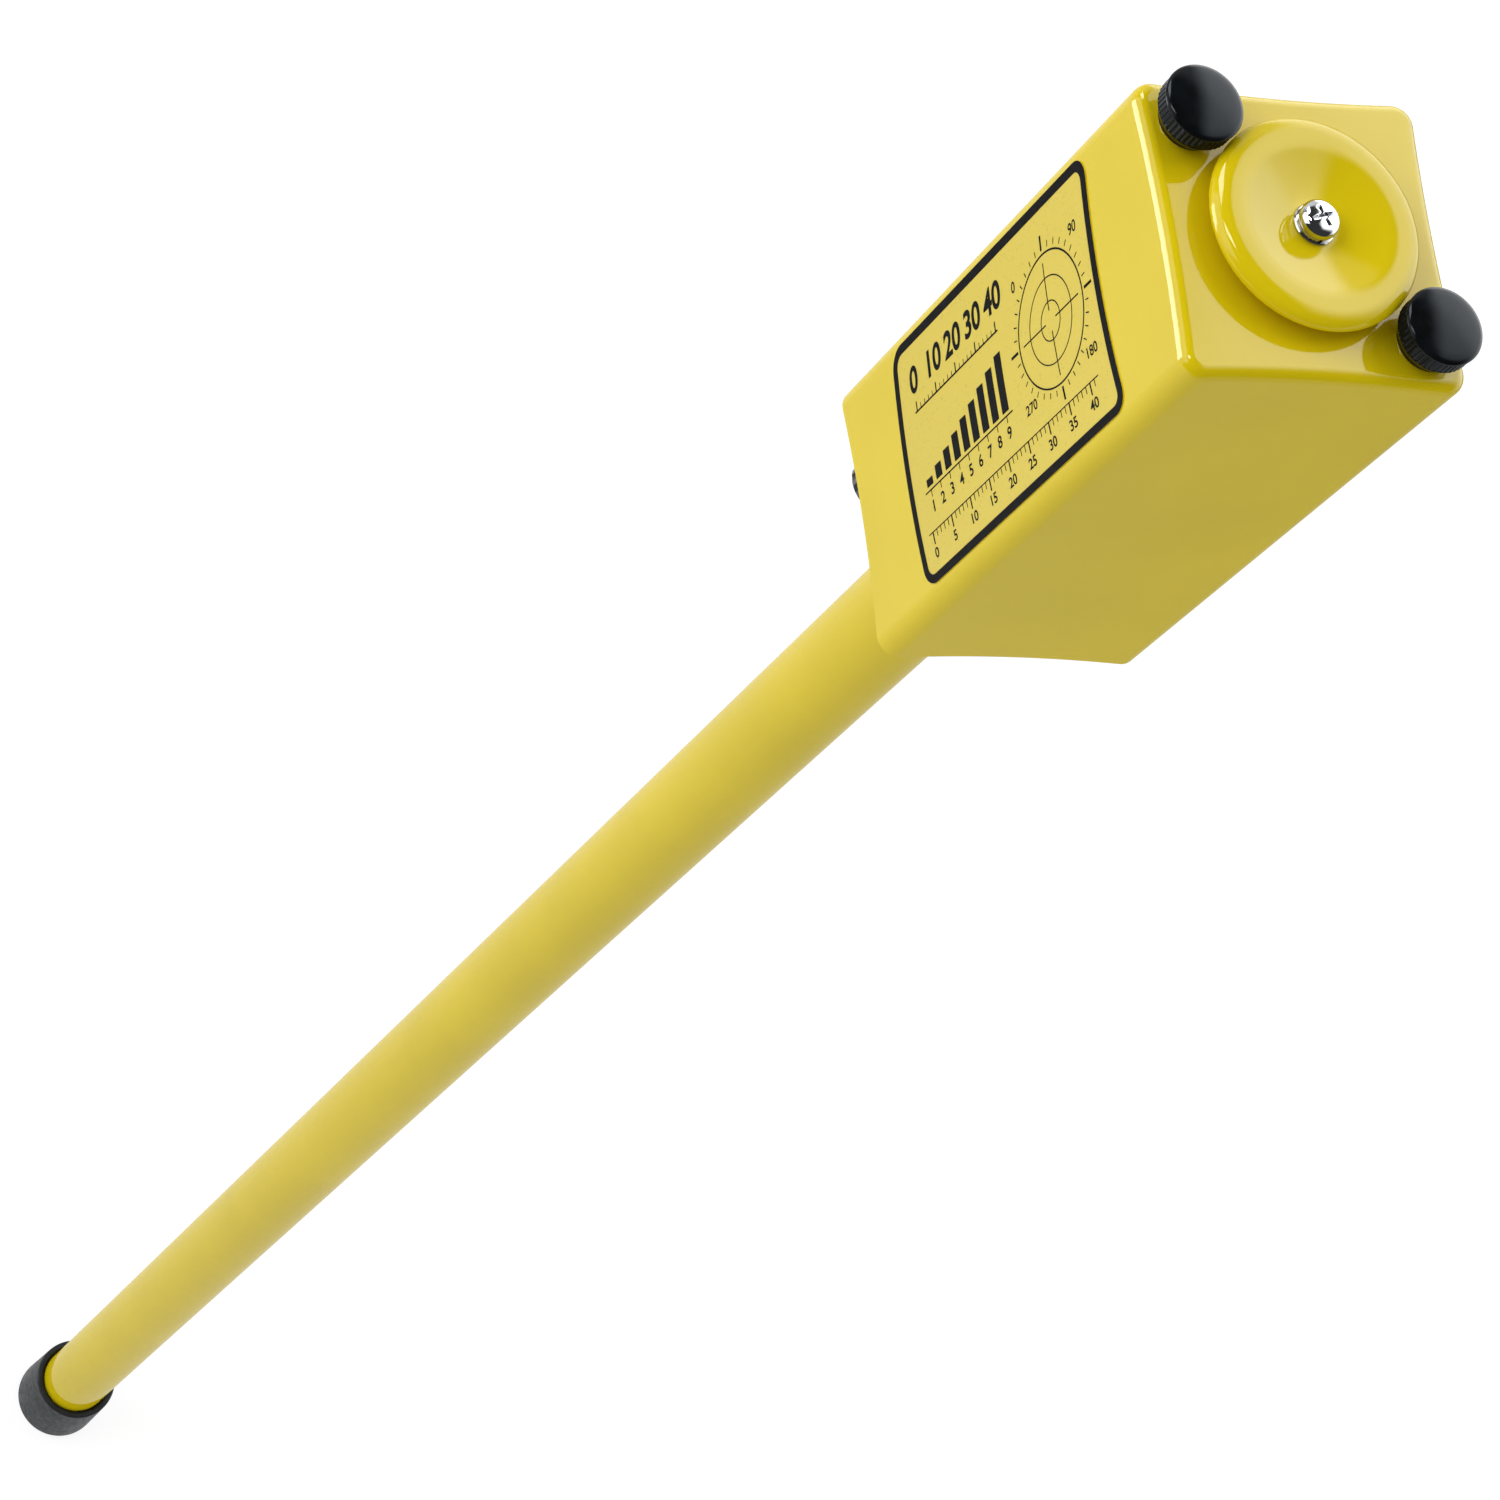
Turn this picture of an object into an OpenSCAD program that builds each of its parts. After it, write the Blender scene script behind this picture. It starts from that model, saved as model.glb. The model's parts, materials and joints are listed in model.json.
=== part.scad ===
// Hand-held magnetic locator: a sensing wand with an electronics box at its upper end.
// Millimetres. Z runs up the wand from the underside of its tip. The box's label faces -Y.

/* [Wand] */
// Length of the wand from its tip to the lower rim of the box
wand_len = 911; // [800:1:1000]
// Outside diameter of the wand's tube
tube_d = 26.5; // [25:0.5:28]
// Wall of the wand's tube
tube_wall = 2; // [1.5:0.25:2.5]
// Outside diameter of the tip cap at its closed end
cap_d = 34; // [32.5:0.1:37]
// Length of the tip cap
cap_len = 33; // [25:1:45]
// Thickness of the tip cap's floor
cap_floor = 3.5; // [3:0.25:6]
// Distance between the centres of the two sensors
sensor_spacing = 508; // [450:1:520]
// Length of one sensor's bobbin
bobbin_len = 46; // [36:1:50]

/* [Box] */
// Width and depth of the box across its closed end
box_w = 69.6; // [63:0.2:76]
// Height of the box from its open rim to its end face
box_h = 154; // [139:1:169]
// Extra half width of the box at its open rim
box_draft = 0.1; // [0.1:0.1:1]
// How far the middle of each wall is drawn in
wall_bow = 0.95; // [0.4:0.05:1.3]
// Wall of the box
cover_wall = 2.5; // [2:0.1:2.6]
// Thickness of the box's end wall
cover_top = 3; // [2.5:0.1:4]
// Radius of the box's upright corners
corner_r = 5; // [3.5:0.25:6]
// Radius of the rounded edge round the end face
edge_r = 2.8; // [1.5:0.1:3.2]
// Height of the label, across the box
label_w = 60.4; // [40:0.2:61]
// Length of the label, along the box
label_len = 101; // [60:1:110]
// Distance from the end face down to the label
label_drop = 23.6; // [18:0.2:28]

/* [Sound deflector] */
// Gap between the dished disc's rim and each thumb screw's head, seen from the end
disc_clear = 0.3; // [0.2:0.1:3]
// Height of the disc's flat ring above the end face
disc_top = 7.6; // [6.6:0.1:8.6]
// Gap between the disc and the end face, where the sound leaves
disc_gap = 2.4; // [1:0.1:2.8]
// Breadth of the disc's flat ring
disc_flat = 4.7; // [2:0.1:6]
// Depth of the dish
dish_depth = 3; // [2.6:0.1:3.2]

/* [Thumb screws] */
// Distance of each thumb screw's axis from the box's outer walls
screw_inset = 10.4; // [9.8:0.1:11]
// Diameter of a thumb screw's head
thumb_d = 18.4; // [17:0.1:19]
// Height of a thumb screw's head above the box
thumb_h = 10.7; // [8:0.1:12]
// Diameter of the thread
thread_d = 6.2; // [5.6:0.1:6.6]
// Thread engaged when the box is closed, and the rise that frees it
thread_len = 6.35; // [5:0.05:6.4]

/* [Controls] */
// Depth of a control's body behind the plate
control_depth = 8; // [6:0.5:9]
// Diameter of a control knob
knob_d = 17; // [16.5:0.5:20]
// Height of a control knob
knob_h = 14; // [13:0.5:17]

/* [Power] */
// Free room between the cells and the box's walls
cell_room = 1.15; // [0.8:0.05:2]
// Free height between the cells' holders and the speaker
bay_room = 8.3; // [5:0.1:12]

/* [Hidden] */
$fn = 48;
fine = 96;
fit = 0.1;           // gap between fixed pieces
run_fit = 0.05;      // radial gap of a turning shaft
cover_gap = 0.3;     // gap between the sliding cover and what it slides over
metal_t = 1.5;       // sheet metal of the frame
screw_r = 1.5;       // shank of the small machine screws
screw_head_r = 2.8;
screw_head_h = 1.8;

// wand
tube_r = tube_d / 2;
bore_r = tube_r - tube_wall;
cap_taper = 0.6;
cap_round = 2.5;
cap_lip = 1.3;       // width and depth of the recess inside the cap's rim
tube_base = cap_floor;
carrier_r = 6;
carrier_wall = 1.5;
bumper_h = 12;
carrier_base = tube_base + bumper_h;
carrier_end = 18;    // carrier beyond each bobbin
bobbin_core = carrier_r + 1.5;
flange_r = bore_r - 1;
winding_r = flange_r - 1.2;
flange_t = 2;
sensor_a_z = carrier_base + carrier_end + bobbin_len / 2;
sensor_b_z = sensor_a_z + sensor_spacing;
carrier_top = sensor_b_z + bobbin_len / 2 + carrier_end;
ring_h = 8;
cable_r = 2;
plug_h = 10;
plug_lip = 1;

// box, from its lower rim up
plate_recess = 1.5;
plate_t = 3;
ledge_t = plate_t / 2;
gasket_w = 2;
plate_z = wand_len + plate_recess;
deck_z = plate_z + plate_t;
collar_h = 12;
collar_r = tube_r + 3.8;
tube_top = deck_z + collar_h + 1.5;
box_top = wand_len + box_h;
inner_top = box_top - cover_top;
inner_mid = box_w / 2 - cover_wall - wall_bow;
screw_lift = thread_len;
standoff_h = thread_len + screw_lift + 0.2;
shelf_top = inner_top - cover_gap - standoff_h;
shelf_z = shelf_top - metal_t;
wall_steps = 8;      // flats along each bowed wall
corner_steps = 6;    // flats round each upright corner
edge_steps = 5;      // flats round the end face's edge
label_t = 0.3;
label_gap = 0.02;
label_round = 5;
label_sag = 4;       // how far the middle of the label's ends is drawn towards the tip
label_top = box_top - label_drop;

// thumb screws
thumb_xy = box_w / 2 - screw_inset;
THUMBS = [[-thumb_xy, -thumb_xy], [thumb_xy, thumb_xy]];
shank_r = 2.5;
washer_r = 6;
washer_t = 1;
retainer_r = 5;
retainer_t = 1.2;
thread_gap = 0.15;
standoff_r = 5;
head_z = box_top + washer_t;
head_h = thumb_h - washer_t;
head_base_r = thumb_d / 2 - 2.3;
disc_d = 2 * (thumb_xy * sqrt(2) - thumb_d / 2 - disc_clear);
rib_count = 40;
rib_depth = 0.35;
thread_top = inner_top - screw_lift - 0.1;

// controls and the collar's ears on the end plate
control_gap = 0.8;
control_room = 2.8;  // between a control's body and the box's walls
control_angle = 51;
control_near = collar_r + control_gap;
control_d = 2 * (inner_mid - control_room - control_near * sin(control_angle)) / (1 + sin(control_angle));
control_dist = control_near + control_d / 2;
CONTROLS = [for (s = [-1, 1]) s * control_dist * [cos(control_angle), sin(control_angle)]];
ear_r = 4.5;
ear_t = 4;
ear_dist = collar_r + ear_r;
ear_angle = 135;
shaft_r = 3;
bushing_r = 3.6;
bushing_drop = 5.5;
nut_flats = 11;
nut_t = 2.2;
knob_gap = 1;
knob_recess = 5.2;
knob_top = plate_z - knob_gap;
knob_base = knob_top - knob_h;
shaft_end = knob_base + 2.5;
flute_count = 18;
flute_depth = 0.5;
pointer_w = 1;
pointer_deep = 0.6;
set_screw_r = 1.5;
set_screw_z = (knob_top - knob_recess + shaft_end) / 2;

// frame and power
rail_w = 12;
rail_out = inner_mid - 0.5;
rail_in = rail_out - metal_t;
foot_len = 8;
foot_y = rail_in - foot_len / 2;
board_t = 1.6;
board_half = rail_in - fit;
holder_gap = 1.8;
holder_wall = 1.2;
holder_back = board_t / 2 + holder_gap;
cell_gap = 0.2;
cell_d = inner_mid - cell_room - holder_back - holder_wall - cell_gap;
cell_x = holder_back + holder_wall + cell_gap + cell_d / 2;
contact_t = 0.5;
spring_h = 3;
bay_z = tube_top + 1.5;
magnet_drop = 3.4;
holder_len = shelf_top - magnet_drop - bay_room - bay_z;
cell_len = (holder_len - spring_h) / 2 - contact_t - holder_wall - fit;
board_inset = 3;
board_z = bay_z + board_inset;
board_top = bay_z + holder_len - board_inset;
board_len = board_top - board_z;
lead_r = 0.7;

// speaker and its fixing under the end wall
speaker_r = 20;
speaker_h = 7.8;
cone_edge_r = 17;
magnet_r = 9;
speaker_top = shelf_top + speaker_h;
sound_r = 14;
sound_hole_r = 2;
sound_holes = 8;
boss_r = 8;
disc_round = 3.8;    // breadth of the disc's rounded rim
dish_r = disc_d / 2 - disc_round - disc_flat;
dish_seat_r = 5.5;
centre_r = 2.5;
centre_head_r = 4.7;
centre_head_h = 2.8;
flat_washer_t = 0.8;
lock_washer_t = 1;
lock_nut_flats = 8;
lock_nut_h = 4;
seat_z = box_top + disc_top - dish_depth;
centre_head_z = seat_z + flat_washer_t + lock_washer_t;

// Shared shapes

module ring(outer, inner, h) {
    difference() {
        cylinder(r = outer, h = h);
        translate([0, 0, -1]) cylinder(r = inner, h = h + 2);
    }
}

module hex_nut(flats, inner, h) {
    difference() {
        cylinder(d = flats / cos(30), h = h, $fn = 6);
        translate([0, 0, -1]) cylinder(r = inner, h = h + 2);
    }
}

// a small machine screw, its head's underside at z = 0 and its shank below
module machine_screw(length) {
    translate([0, 0, -length]) cylinder(r = screw_r, h = length);
    difference() {
        cylinder(r = screw_head_r, h = screw_head_h);
        translate([-screw_head_r - 1, -0.4, screw_head_h - 0.8]) cube([2 * screw_head_r + 2, 0.8, 1]);
    }
}

// a toothed outline: count teeth of a depth, cut into a circle of radius r
function toothed(r, count, depth) =
    [for (i = [0 : 4 * count - 1])
        (r - (i % 4 < 2 ? 0 : depth)) * [cos(90 * i / count), sin(90 * i / count)]];

// half the box's outer width at a height
function half_at(z) = box_w / 2 + box_draft * (box_top - z) / box_h;

// one side and corner of the box's section: half width a, corner radius r, drawn in by bow
function side_points(a, r, bow) =
    let (lean = atan(2 * bow / (a - r)),
         reach = a - r - r * sin(lean),
         edge = a - r + r * cos(lean))
    concat(
        [for (i = [0 : wall_steps - 1]) let (s = 2 * i / wall_steps - 1)
            [edge - bow * (1 - s * s), s * reach]],
        [for (i = [0 : corner_steps - 1]) let (t = (90 + 2 * lean) * i / corner_steps - lean)
            [a - r + r * cos(t), a - r + r * sin(t)]]);

function section(a, r, bow = wall_bow) =
    [for (k = [0 : 3]) for (p = side_points(a, r, bow))
        [p.x * cos(90 * k) - p.y * sin(90 * k), p.x * sin(90 * k) + p.y * cos(90 * k)]];

// a solid through sections stacked up the Z axis, each given as [height, half width, corner radius]
module loft(levels) {
    n = 4 * (wall_steps + corner_steps);
    last = len(levels) - 1;
    count = n * len(levels);
    points = concat([for (l = levels) for (p = section(l[1], l[2])) [p.x, p.y, l[0]]],
                    [[0, 0, levels[0][0]], [0, 0, levels[last][0]]]);
    faces = [for (i = [0 : n - 1]) let (j = (i + 1) % n) each concat(
        [[count, i, j], [count + 1, n * last + j, n * last + i]],
        [for (k = [0 : last - 1]) each [[k * n + i, (k + 1) * n + i, k * n + j],
                                        [k * n + j, (k + 1) * n + i, (k + 1) * n + j]]])];
    polyhedron(points = points, faces = faces);
}

module plate_section(inset) {
    polygon(section(half_at(deck_z) - cover_wall - inset, corner_r - cover_wall));
}

// the box between two heights, grown or shrunk by a distance
module box_body(low, high, grow) {
    loft([for (z = [low, high]) [z, half_at(z) + grow, corner_r + grow]]);
}

// Wand

module tip_cap() {
    rim_r = cap_d / 2 - cap_taper;
    color([0.07, 0.07, 0.075]) rotate_extrude($fn = fine) polygon(concat(
        [[0, 0]],
        [for (t = [-90 : 15 : 0])
            [cap_d / 2 - cap_round + cap_round * cos(t), cap_round + cap_round * sin(t)]],
        [[rim_r, cap_len - 0.6], [rim_r - 0.6, cap_len], [tube_r + cap_lip, cap_len],
         [tube_r + fit, cap_len - cap_lip], [tube_r + fit, cap_floor], [0, cap_floor]]));
}

module wand_tube() {
    color([0.88, 0.80, 0.25]) translate([0, 0, tube_base]) rotate_extrude($fn = fine)
        translate([bore_r, 0]) square([tube_wall, tube_top - tube_base]);
}

module tip_bumper() {
    color([0.15, 0.15, 0.15]) translate([0, 0, tube_base]) cylinder(r = bore_r - fit, h = bumper_h);
}

module sensor_carrier() {
    color([0.9, 0.88, 0.8]) translate([0, 0, carrier_base])
        ring(carrier_r, carrier_r - carrier_wall, carrier_top - carrier_base);
}

module bobbin(z) {
    color([0.93, 0.93, 0.9]) translate([0, 0, z - bobbin_len / 2]) difference() {
        union() {
            cylinder(r = bobbin_core, h = bobbin_len);
            for (end = [0, bobbin_len - flange_t]) translate([0, 0, end])
                cylinder(r = flange_r, h = flange_t);
        }
        translate([0, 0, -1]) cylinder(r = carrier_r + fit, h = bobbin_len + 2);
    }
}

module winding(z) {
    color([0.72, 0.38, 0.16]) translate([0, 0, z - bobbin_len / 2 + flange_t])
        ring(winding_r, bobbin_core, bobbin_len - 2 * flange_t);
}

module lower_sensor_bobbin() { bobbin(sensor_a_z); }
module lower_sensor_winding() { winding(sensor_a_z); }
module upper_sensor_bobbin() { bobbin(sensor_b_z); }
module upper_sensor_winding() { winding(sensor_b_z); }

module centring_rings() {
    edge = bobbin_len / 2 + 4;
    middle = (sensor_a_z + sensor_b_z) / 2;
    heights = [sensor_a_z - edge - ring_h, sensor_a_z + edge, middle - ring_h / 2,
               sensor_b_z - edge - ring_h, sensor_b_z + edge];
    color([0.2, 0.2, 0.22]) for (z = heights) translate([0, 0, z]) ring(bore_r - fit, carrier_r, ring_h);
}

module cable_plug() {
    color([0.12, 0.12, 0.12]) difference() {
        union() {
            translate([0, 0, tube_top - plug_h]) cylinder(r = bore_r - fit, h = plug_h);
            translate([0, 0, tube_top]) cylinder(r = tube_r, h = plug_lip);
        }
        translate([0, 0, tube_top - plug_h - 1]) cylinder(r = cable_r, h = plug_h + plug_lip + 2);
    }
}

module sensor_cable() {
    color([0.25, 0.25, 0.28]) translate([0, 0, sensor_a_z]) cylinder(r = cable_r, h = bay_z - sensor_a_z);
}

// End plate and what stands on it

module tube_seal() {
    color([0.1, 0.1, 0.1]) translate([0, 0, deck_z]) ring(tube_r + 2, tube_r, 2);
}

module at_ears() {
    for (a = [0, 180]) rotate(ear_angle + a) translate([ear_dist, 0]) children();
}

module end_plate() {
    ledge = cover_gap + gasket_w + fit;
    color([0.1, 0.1, 0.1]) difference() {
        union() {
            translate([0, 0, plate_z]) linear_extrude(ledge_t) plate_section(cover_gap);
            translate([0, 0, plate_z]) linear_extrude(plate_t) plate_section(ledge);
        }
        translate([0, 0, plate_z - 1]) cylinder(r = tube_r + fit, h = plate_t + 2);
        for (p = CONTROLS) translate([p.x, p.y, plate_z - 1])
            cylinder(r = bushing_r + fit, h = plate_t + 2);
        translate([0, 0, plate_z - 1]) at_ears() cylinder(r = screw_r, h = plate_t + 2);
        for (s = [-1, 1]) translate([0, s * foot_y, plate_z - 1])
            cylinder(r = screw_r, h = plate_t + 2);
    }
}

module cover_gasket() {
    color([0.05, 0.05, 0.05]) translate([0, 0, plate_z + ledge_t])
        linear_extrude(plate_t - ledge_t) difference() {
            plate_section(cover_gap);
            plate_section(cover_gap + gasket_w);
        }
}

module tube_collar() {
    color([0.75, 0.76, 0.78]) translate([0, 0, deck_z]) difference() {
        union() {
            cylinder(r = collar_r, h = collar_h, $fn = fine);
            at_ears() cylinder(r = ear_r, h = ear_t);
            rotate(ear_angle) translate([-ear_dist, -ear_r, 0]) cube([2 * ear_dist, 2 * ear_r, ear_t]);
        }
        translate([0, 0, -1]) cylinder(r = tube_r + fit, h = collar_h + 2, $fn = fine);
        translate([0, 0, -1]) cylinder(r = tube_r + 2 + fit, h = 3 + fit);
        at_ears() translate([0, 0, -1]) cylinder(r = screw_r + fit, h = ear_t + 2);
        for (a = [-45, 135]) rotate(a) translate([tube_r - 1, 0, collar_h - 4])
            rotate([0, 90, 0]) cylinder(r = set_screw_r, h = collar_r);
    }
}

module collar_screws() {
    color([0.7, 0.71, 0.73]) {
        translate([0, 0, deck_z + ear_t]) at_ears() machine_screw(ear_t + plate_t - 0.3);
        for (a = [-45, 135]) rotate(a) translate([tube_r, 0, deck_z + collar_h - 4])
            rotate([0, 90, 0]) cylinder(r = set_screw_r, h = collar_r - tube_r - 0.3);
    }
}

// Frame

module rail(side) {
    color([0.78, 0.79, 0.8]) difference() {
        mirror([0, side < 0 ? 1 : 0, 0]) {
            translate([-rail_w / 2, rail_in, deck_z]) cube([rail_w, metal_t, shelf_z - deck_z]);
            for (z = [deck_z, shelf_z - metal_t]) translate([-rail_w / 2, rail_in - foot_len, z])
                cube([rail_w, foot_len + metal_t / 2, metal_t]);
        }
        for (z = [deck_z, shelf_z - metal_t]) translate([0, side * foot_y, z - 1])
            cylinder(r = screw_r + (z == deck_z ? fit : 0), h = metal_t + 2);
    }
}

module front_rail() { rail(-1); }
module rear_rail() { rail(1); }

module rail_screws() {
    color([0.7, 0.71, 0.73]) for (s = [-1, 1]) {
        translate([0, s * foot_y, deck_z + metal_t]) machine_screw(metal_t + plate_t - 0.3);
        translate([0, s * foot_y, shelf_top]) machine_screw(2 * metal_t + 1);
    }
}

module speaker_shelf() {
    round_r = 5;
    lead_y = cone_edge_r - 3;
    color([0.78, 0.79, 0.8]) difference() {
        translate([0, 0, shelf_z]) linear_extrude(metal_t) polygon(
            [for (k = [0 : 3]) for (t = [0 : 15 : 90]) let (c = rail_out - round_r)
                [c * (k == 0 || k == 3 ? 1 : -1) + round_r * cos(t + 90 * k),
                 c * (k < 2 ? 1 : -1) + round_r * sin(t + 90 * k)]]);
        translate([0, 0, shelf_z - 1]) cylinder(r = magnet_r + 0.5, h = metal_t + 2);
        for (s = [-1, 1]) {
            translate([0, s * foot_y, shelf_z - 1]) cylinder(r = screw_r + fit, h = metal_t + 2);
            translate([0, s * lead_y, shelf_z - 1]) cylinder(r = 2 * lead_r, h = metal_t + 2);
        }
    }
}

module standoffs() {
    color([0.72, 0.72, 0.74]) for (p = THUMBS) translate([p.x, p.y, shelf_top]) difference() {
        cylinder(r = standoff_r, h = standoff_h);
        translate([0, 0, -1]) cylinder(r = thread_d / 2 + thread_gap, h = standoff_h + 2);
        translate([0, 0, thread_len + 0.2]) cylinder(r = thread_d / 2 + 3 * thread_gap, h = standoff_h);
    }
}

// Board, cells and leads

module circuit_board() {
    color([0.1, 0.35, 0.15]) translate([-board_t / 2, -board_half, board_z])
        cube([board_t, 2 * board_half, board_len]);
}

module board_components() {
    face = board_t / 2;
    chip_w = 5;
    chip_t = 1.5;
    can_r = 2.5;
    chip_pitch = board_len / 6;
    can_pitch = board_len / 4;
    color([0.12, 0.12, 0.13]) {
        for (side = [-1, 1]) for (i = [0 : 4])
            translate([side < 0 ? -face - chip_t : face, side * (board_half - 3 - chip_w),
                       board_z + chip_pitch * (i + 0.75)]) cube([chip_t, chip_w, chip_pitch / 2]);
        for (side = [-1, 1]) for (i = [0 : 2])
            translate([side * face, -side * (board_half - 5), board_z + can_pitch * (i + 1)])
                rotate([0, side * 90, 0]) cylinder(r = can_r, h = 6);
        difference() {
            translate([-face - chip_t, -4, bay_z]) cube([board_t + 2 * chip_t, 8, 2 * board_inset]);
            translate([-face, -5, board_z]) cube([board_t, 10, 2 * board_inset]);
        }
    }
}

module holder() {
    inside_half = cell_d / 2 + cell_gap;
    outside_half = inside_half + holder_wall;
    color([0.08, 0.08, 0.08]) {
        difference() {
            translate([holder_back, -outside_half, bay_z])
                cube([cell_x - holder_back, 2 * outside_half, holder_len]);
            translate([holder_back + holder_wall, -inside_half, bay_z + holder_wall])
                cube([cell_x, 2 * inside_half, holder_len - 2 * holder_wall]);
        }
        for (z = [20, holder_len - 20]) translate([board_t / 2, 0, bay_z + z])
            rotate([0, 90, 0]) cylinder(r = 3, h = holder_gap + 0.5);
    }
}

module cells() {
    button_h = 1.8;
    low = bay_z + holder_wall + contact_t + spring_h;
    color([0.75, 0.62, 0.35]) for (i = [0, 1]) translate([cell_x, 0, low + i * (cell_len + fit)]) {
        cylinder(d = cell_d, h = cell_len - button_h);
        cylinder(r = 3.5, h = cell_len);
    }
}

module left_battery_holder() { mirror([1, 0, 0]) holder(); }
module right_battery_holder() { holder(); }
module left_cells() { mirror([1, 0, 0]) cells(); }
module right_cells() { cells(); }

module battery_contacts() {
    low = bay_z + holder_wall;
    high = bay_z + holder_len - holder_wall - contact_t;
    half = 6;
    depth = cell_x - holder_back - holder_wall;
    color([0.8, 0.8, 0.78]) for (side = [-1, 1]) {
        for (z = [low, high]) translate([side > 0 ? holder_back + holder_wall : -cell_x, -half, z])
            cube([depth, 2 * half, contact_t]);
        translate([side * cell_x, 0, low + contact_t]) ring(4.5, 3.7, spring_h);
    }
}

module battery_leads() {
    color([0.75, 0.1, 0.1]) for (side = [-1, 1]) for (z = [7, holder_len - 7])
        translate([side > 0 ? board_t / 2 : -holder_back, 5, bay_z + z]) rotate([0, 90, 0])
            cylinder(r = lead_r, h = holder_gap);
}

module speaker_leads() {
    lead_y = cone_edge_r - 3;
    color([0.1, 0.1, 0.1]) for (s = [-1, 1]) translate([0, s * lead_y, board_top])
        cylinder(r = lead_r, h = shelf_top - board_top);
}

module control_leads() {
    start = deck_z + control_depth;
    rise = board_z + 4;
    pitch = 2.5;
    color([0.1, 0.2, 0.6]) for (p = CONTROLS) for (i = [-1 : 1]) {
        reach = abs(p.x) - board_t / 2;
        translate([p.x, p.y + pitch * i, start]) cylinder(r = lead_r, h = rise - start);
        translate([p.x, p.y + pitch * i, rise]) sphere(r = lead_r);
        translate([p.x > 0 ? board_t / 2 : p.x, p.y + pitch * i, rise])
            rotate([0, 90, 0]) cylinder(r = lead_r, h = reach);
    }
}

// Speaker

module speaker_frame() {
    rim_w = speaker_r - cone_edge_r;
    color([0.2, 0.2, 0.22]) translate([0, 0, shelf_top]) rotate_extrude($fn = fine) polygon(
        [[magnet_r, 0], [cone_edge_r - 2, 0], [speaker_r - 1, speaker_h - 1.5],
         [speaker_r, speaker_h - 1.5], [speaker_r, speaker_h], [speaker_r - rim_w, speaker_h],
         [cone_edge_r - 3, 1.2], [magnet_r, 1.2]]);
}

module speaker_cone() {
    color([0.1, 0.1, 0.1]) translate([0, 0, shelf_top]) rotate_extrude($fn = fine) polygon(
        [[0, 2.2], [6, 2.2], [cone_edge_r - fit - 0.3, speaker_h - 0.6], [cone_edge_r - fit, speaker_h],
         [6, 3], [0, 3.6]]);
}

module speaker_magnet() {
    color([0.3, 0.3, 0.32]) translate([0, 0, shelf_top - magnet_drop]) {
        cylinder(r = magnet_r, h = magnet_drop + 1.2);
        cylinder(r = 5.5, h = magnet_drop + 2.2);
    }
}

module speaker_gasket() {
    color([0.1, 0.1, 0.1]) translate([0, 0, speaker_top])
        ring(speaker_r, cone_edge_r, inner_top - cover_gap - speaker_top);
}

// Controls

module control_body(p) {
    lug_w = 1.2;
    color([0.55, 0.56, 0.6]) translate([p.x, p.y, 0]) difference() {
        union() {
            translate([0, 0, deck_z]) cylinder(d = control_d, h = control_depth);
            translate([0, 0, plate_z - bushing_drop])
                cylinder(r = bushing_r, h = plate_t + bushing_drop + 1);
        }
        translate([0, 0, plate_z - bushing_drop - 1])
            cylinder(r = shaft_r + run_fit, h = plate_t + bushing_drop + 4);
        for (i = [-1, 1]) translate([i * 4 - lug_w / 2, -control_d / 2, deck_z + control_depth - 1])
            cube([lug_w, 3, 2]);
    }
}

module control_nut(p) {
    color([0.75, 0.75, 0.77]) translate([p.x, p.y, plate_z - nut_t]) hex_nut(nut_flats, bushing_r, nut_t);
}

module control_shaft(p) {
    color([0.72, 0.72, 0.74]) translate([p.x, p.y, shaft_end])
        cylinder(r = shaft_r, h = deck_z + 2.5 - shaft_end);
}

module control_knob(p) {
    r = knob_d / 2;
    color([0.06, 0.06, 0.06]) translate([p.x, p.y, knob_base]) difference() {
        intersection() {
            rotate_extrude($fn = fine) polygon([[0, 0], [r - 1, 0], [r, 1], [r, knob_h - 0.6],
                [r - 0.6, knob_h], [0, knob_h]]);
            linear_extrude(knob_h) polygon(toothed(r, flute_count, flute_depth));
        }
        translate([0, 0, knob_h - knob_recess]) cylinder(d = nut_flats / cos(30) + 1, h = knob_recess + 1);
        translate([0, 0, shaft_end - knob_base]) cylinder(r = shaft_r, h = knob_h);
        translate([-pointer_w / 2, -r - 1, -1]) cube([pointer_w, r - 1, 1 + pointer_deep]);
        translate([0, 0, set_screw_z - knob_base]) rotate([-90, 0, 0])
            cylinder(r = set_screw_r, h = knob_d);
    }
}

module control_set_screw(p) {
    color([0.3, 0.3, 0.3]) translate([p.x, p.y + shaft_r, set_screw_z]) rotate([-90, 0, 0])
        cylinder(r = set_screw_r, h = knob_d / 2 - shaft_r - 1.2);
}

module volume_control() { control_body(CONTROLS[0]); }
module volume_nut() { control_nut(CONTROLS[0]); }
module volume_shaft() { control_shaft(CONTROLS[0]); }
module volume_knob() { control_knob(CONTROLS[0]); }
module volume_set_screw() { control_set_screw(CONTROLS[0]); }
module sensitivity_switch() { control_body(CONTROLS[1]); }
module sensitivity_nut() { control_nut(CONTROLS[1]); }
module sensitivity_shaft() { control_shaft(CONTROLS[1]); }
module sensitivity_knob() { control_knob(CONTROLS[1]); }
module sensitivity_set_screw() { control_set_screw(CONTROLS[1]); }

// Cover and what it carries

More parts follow.
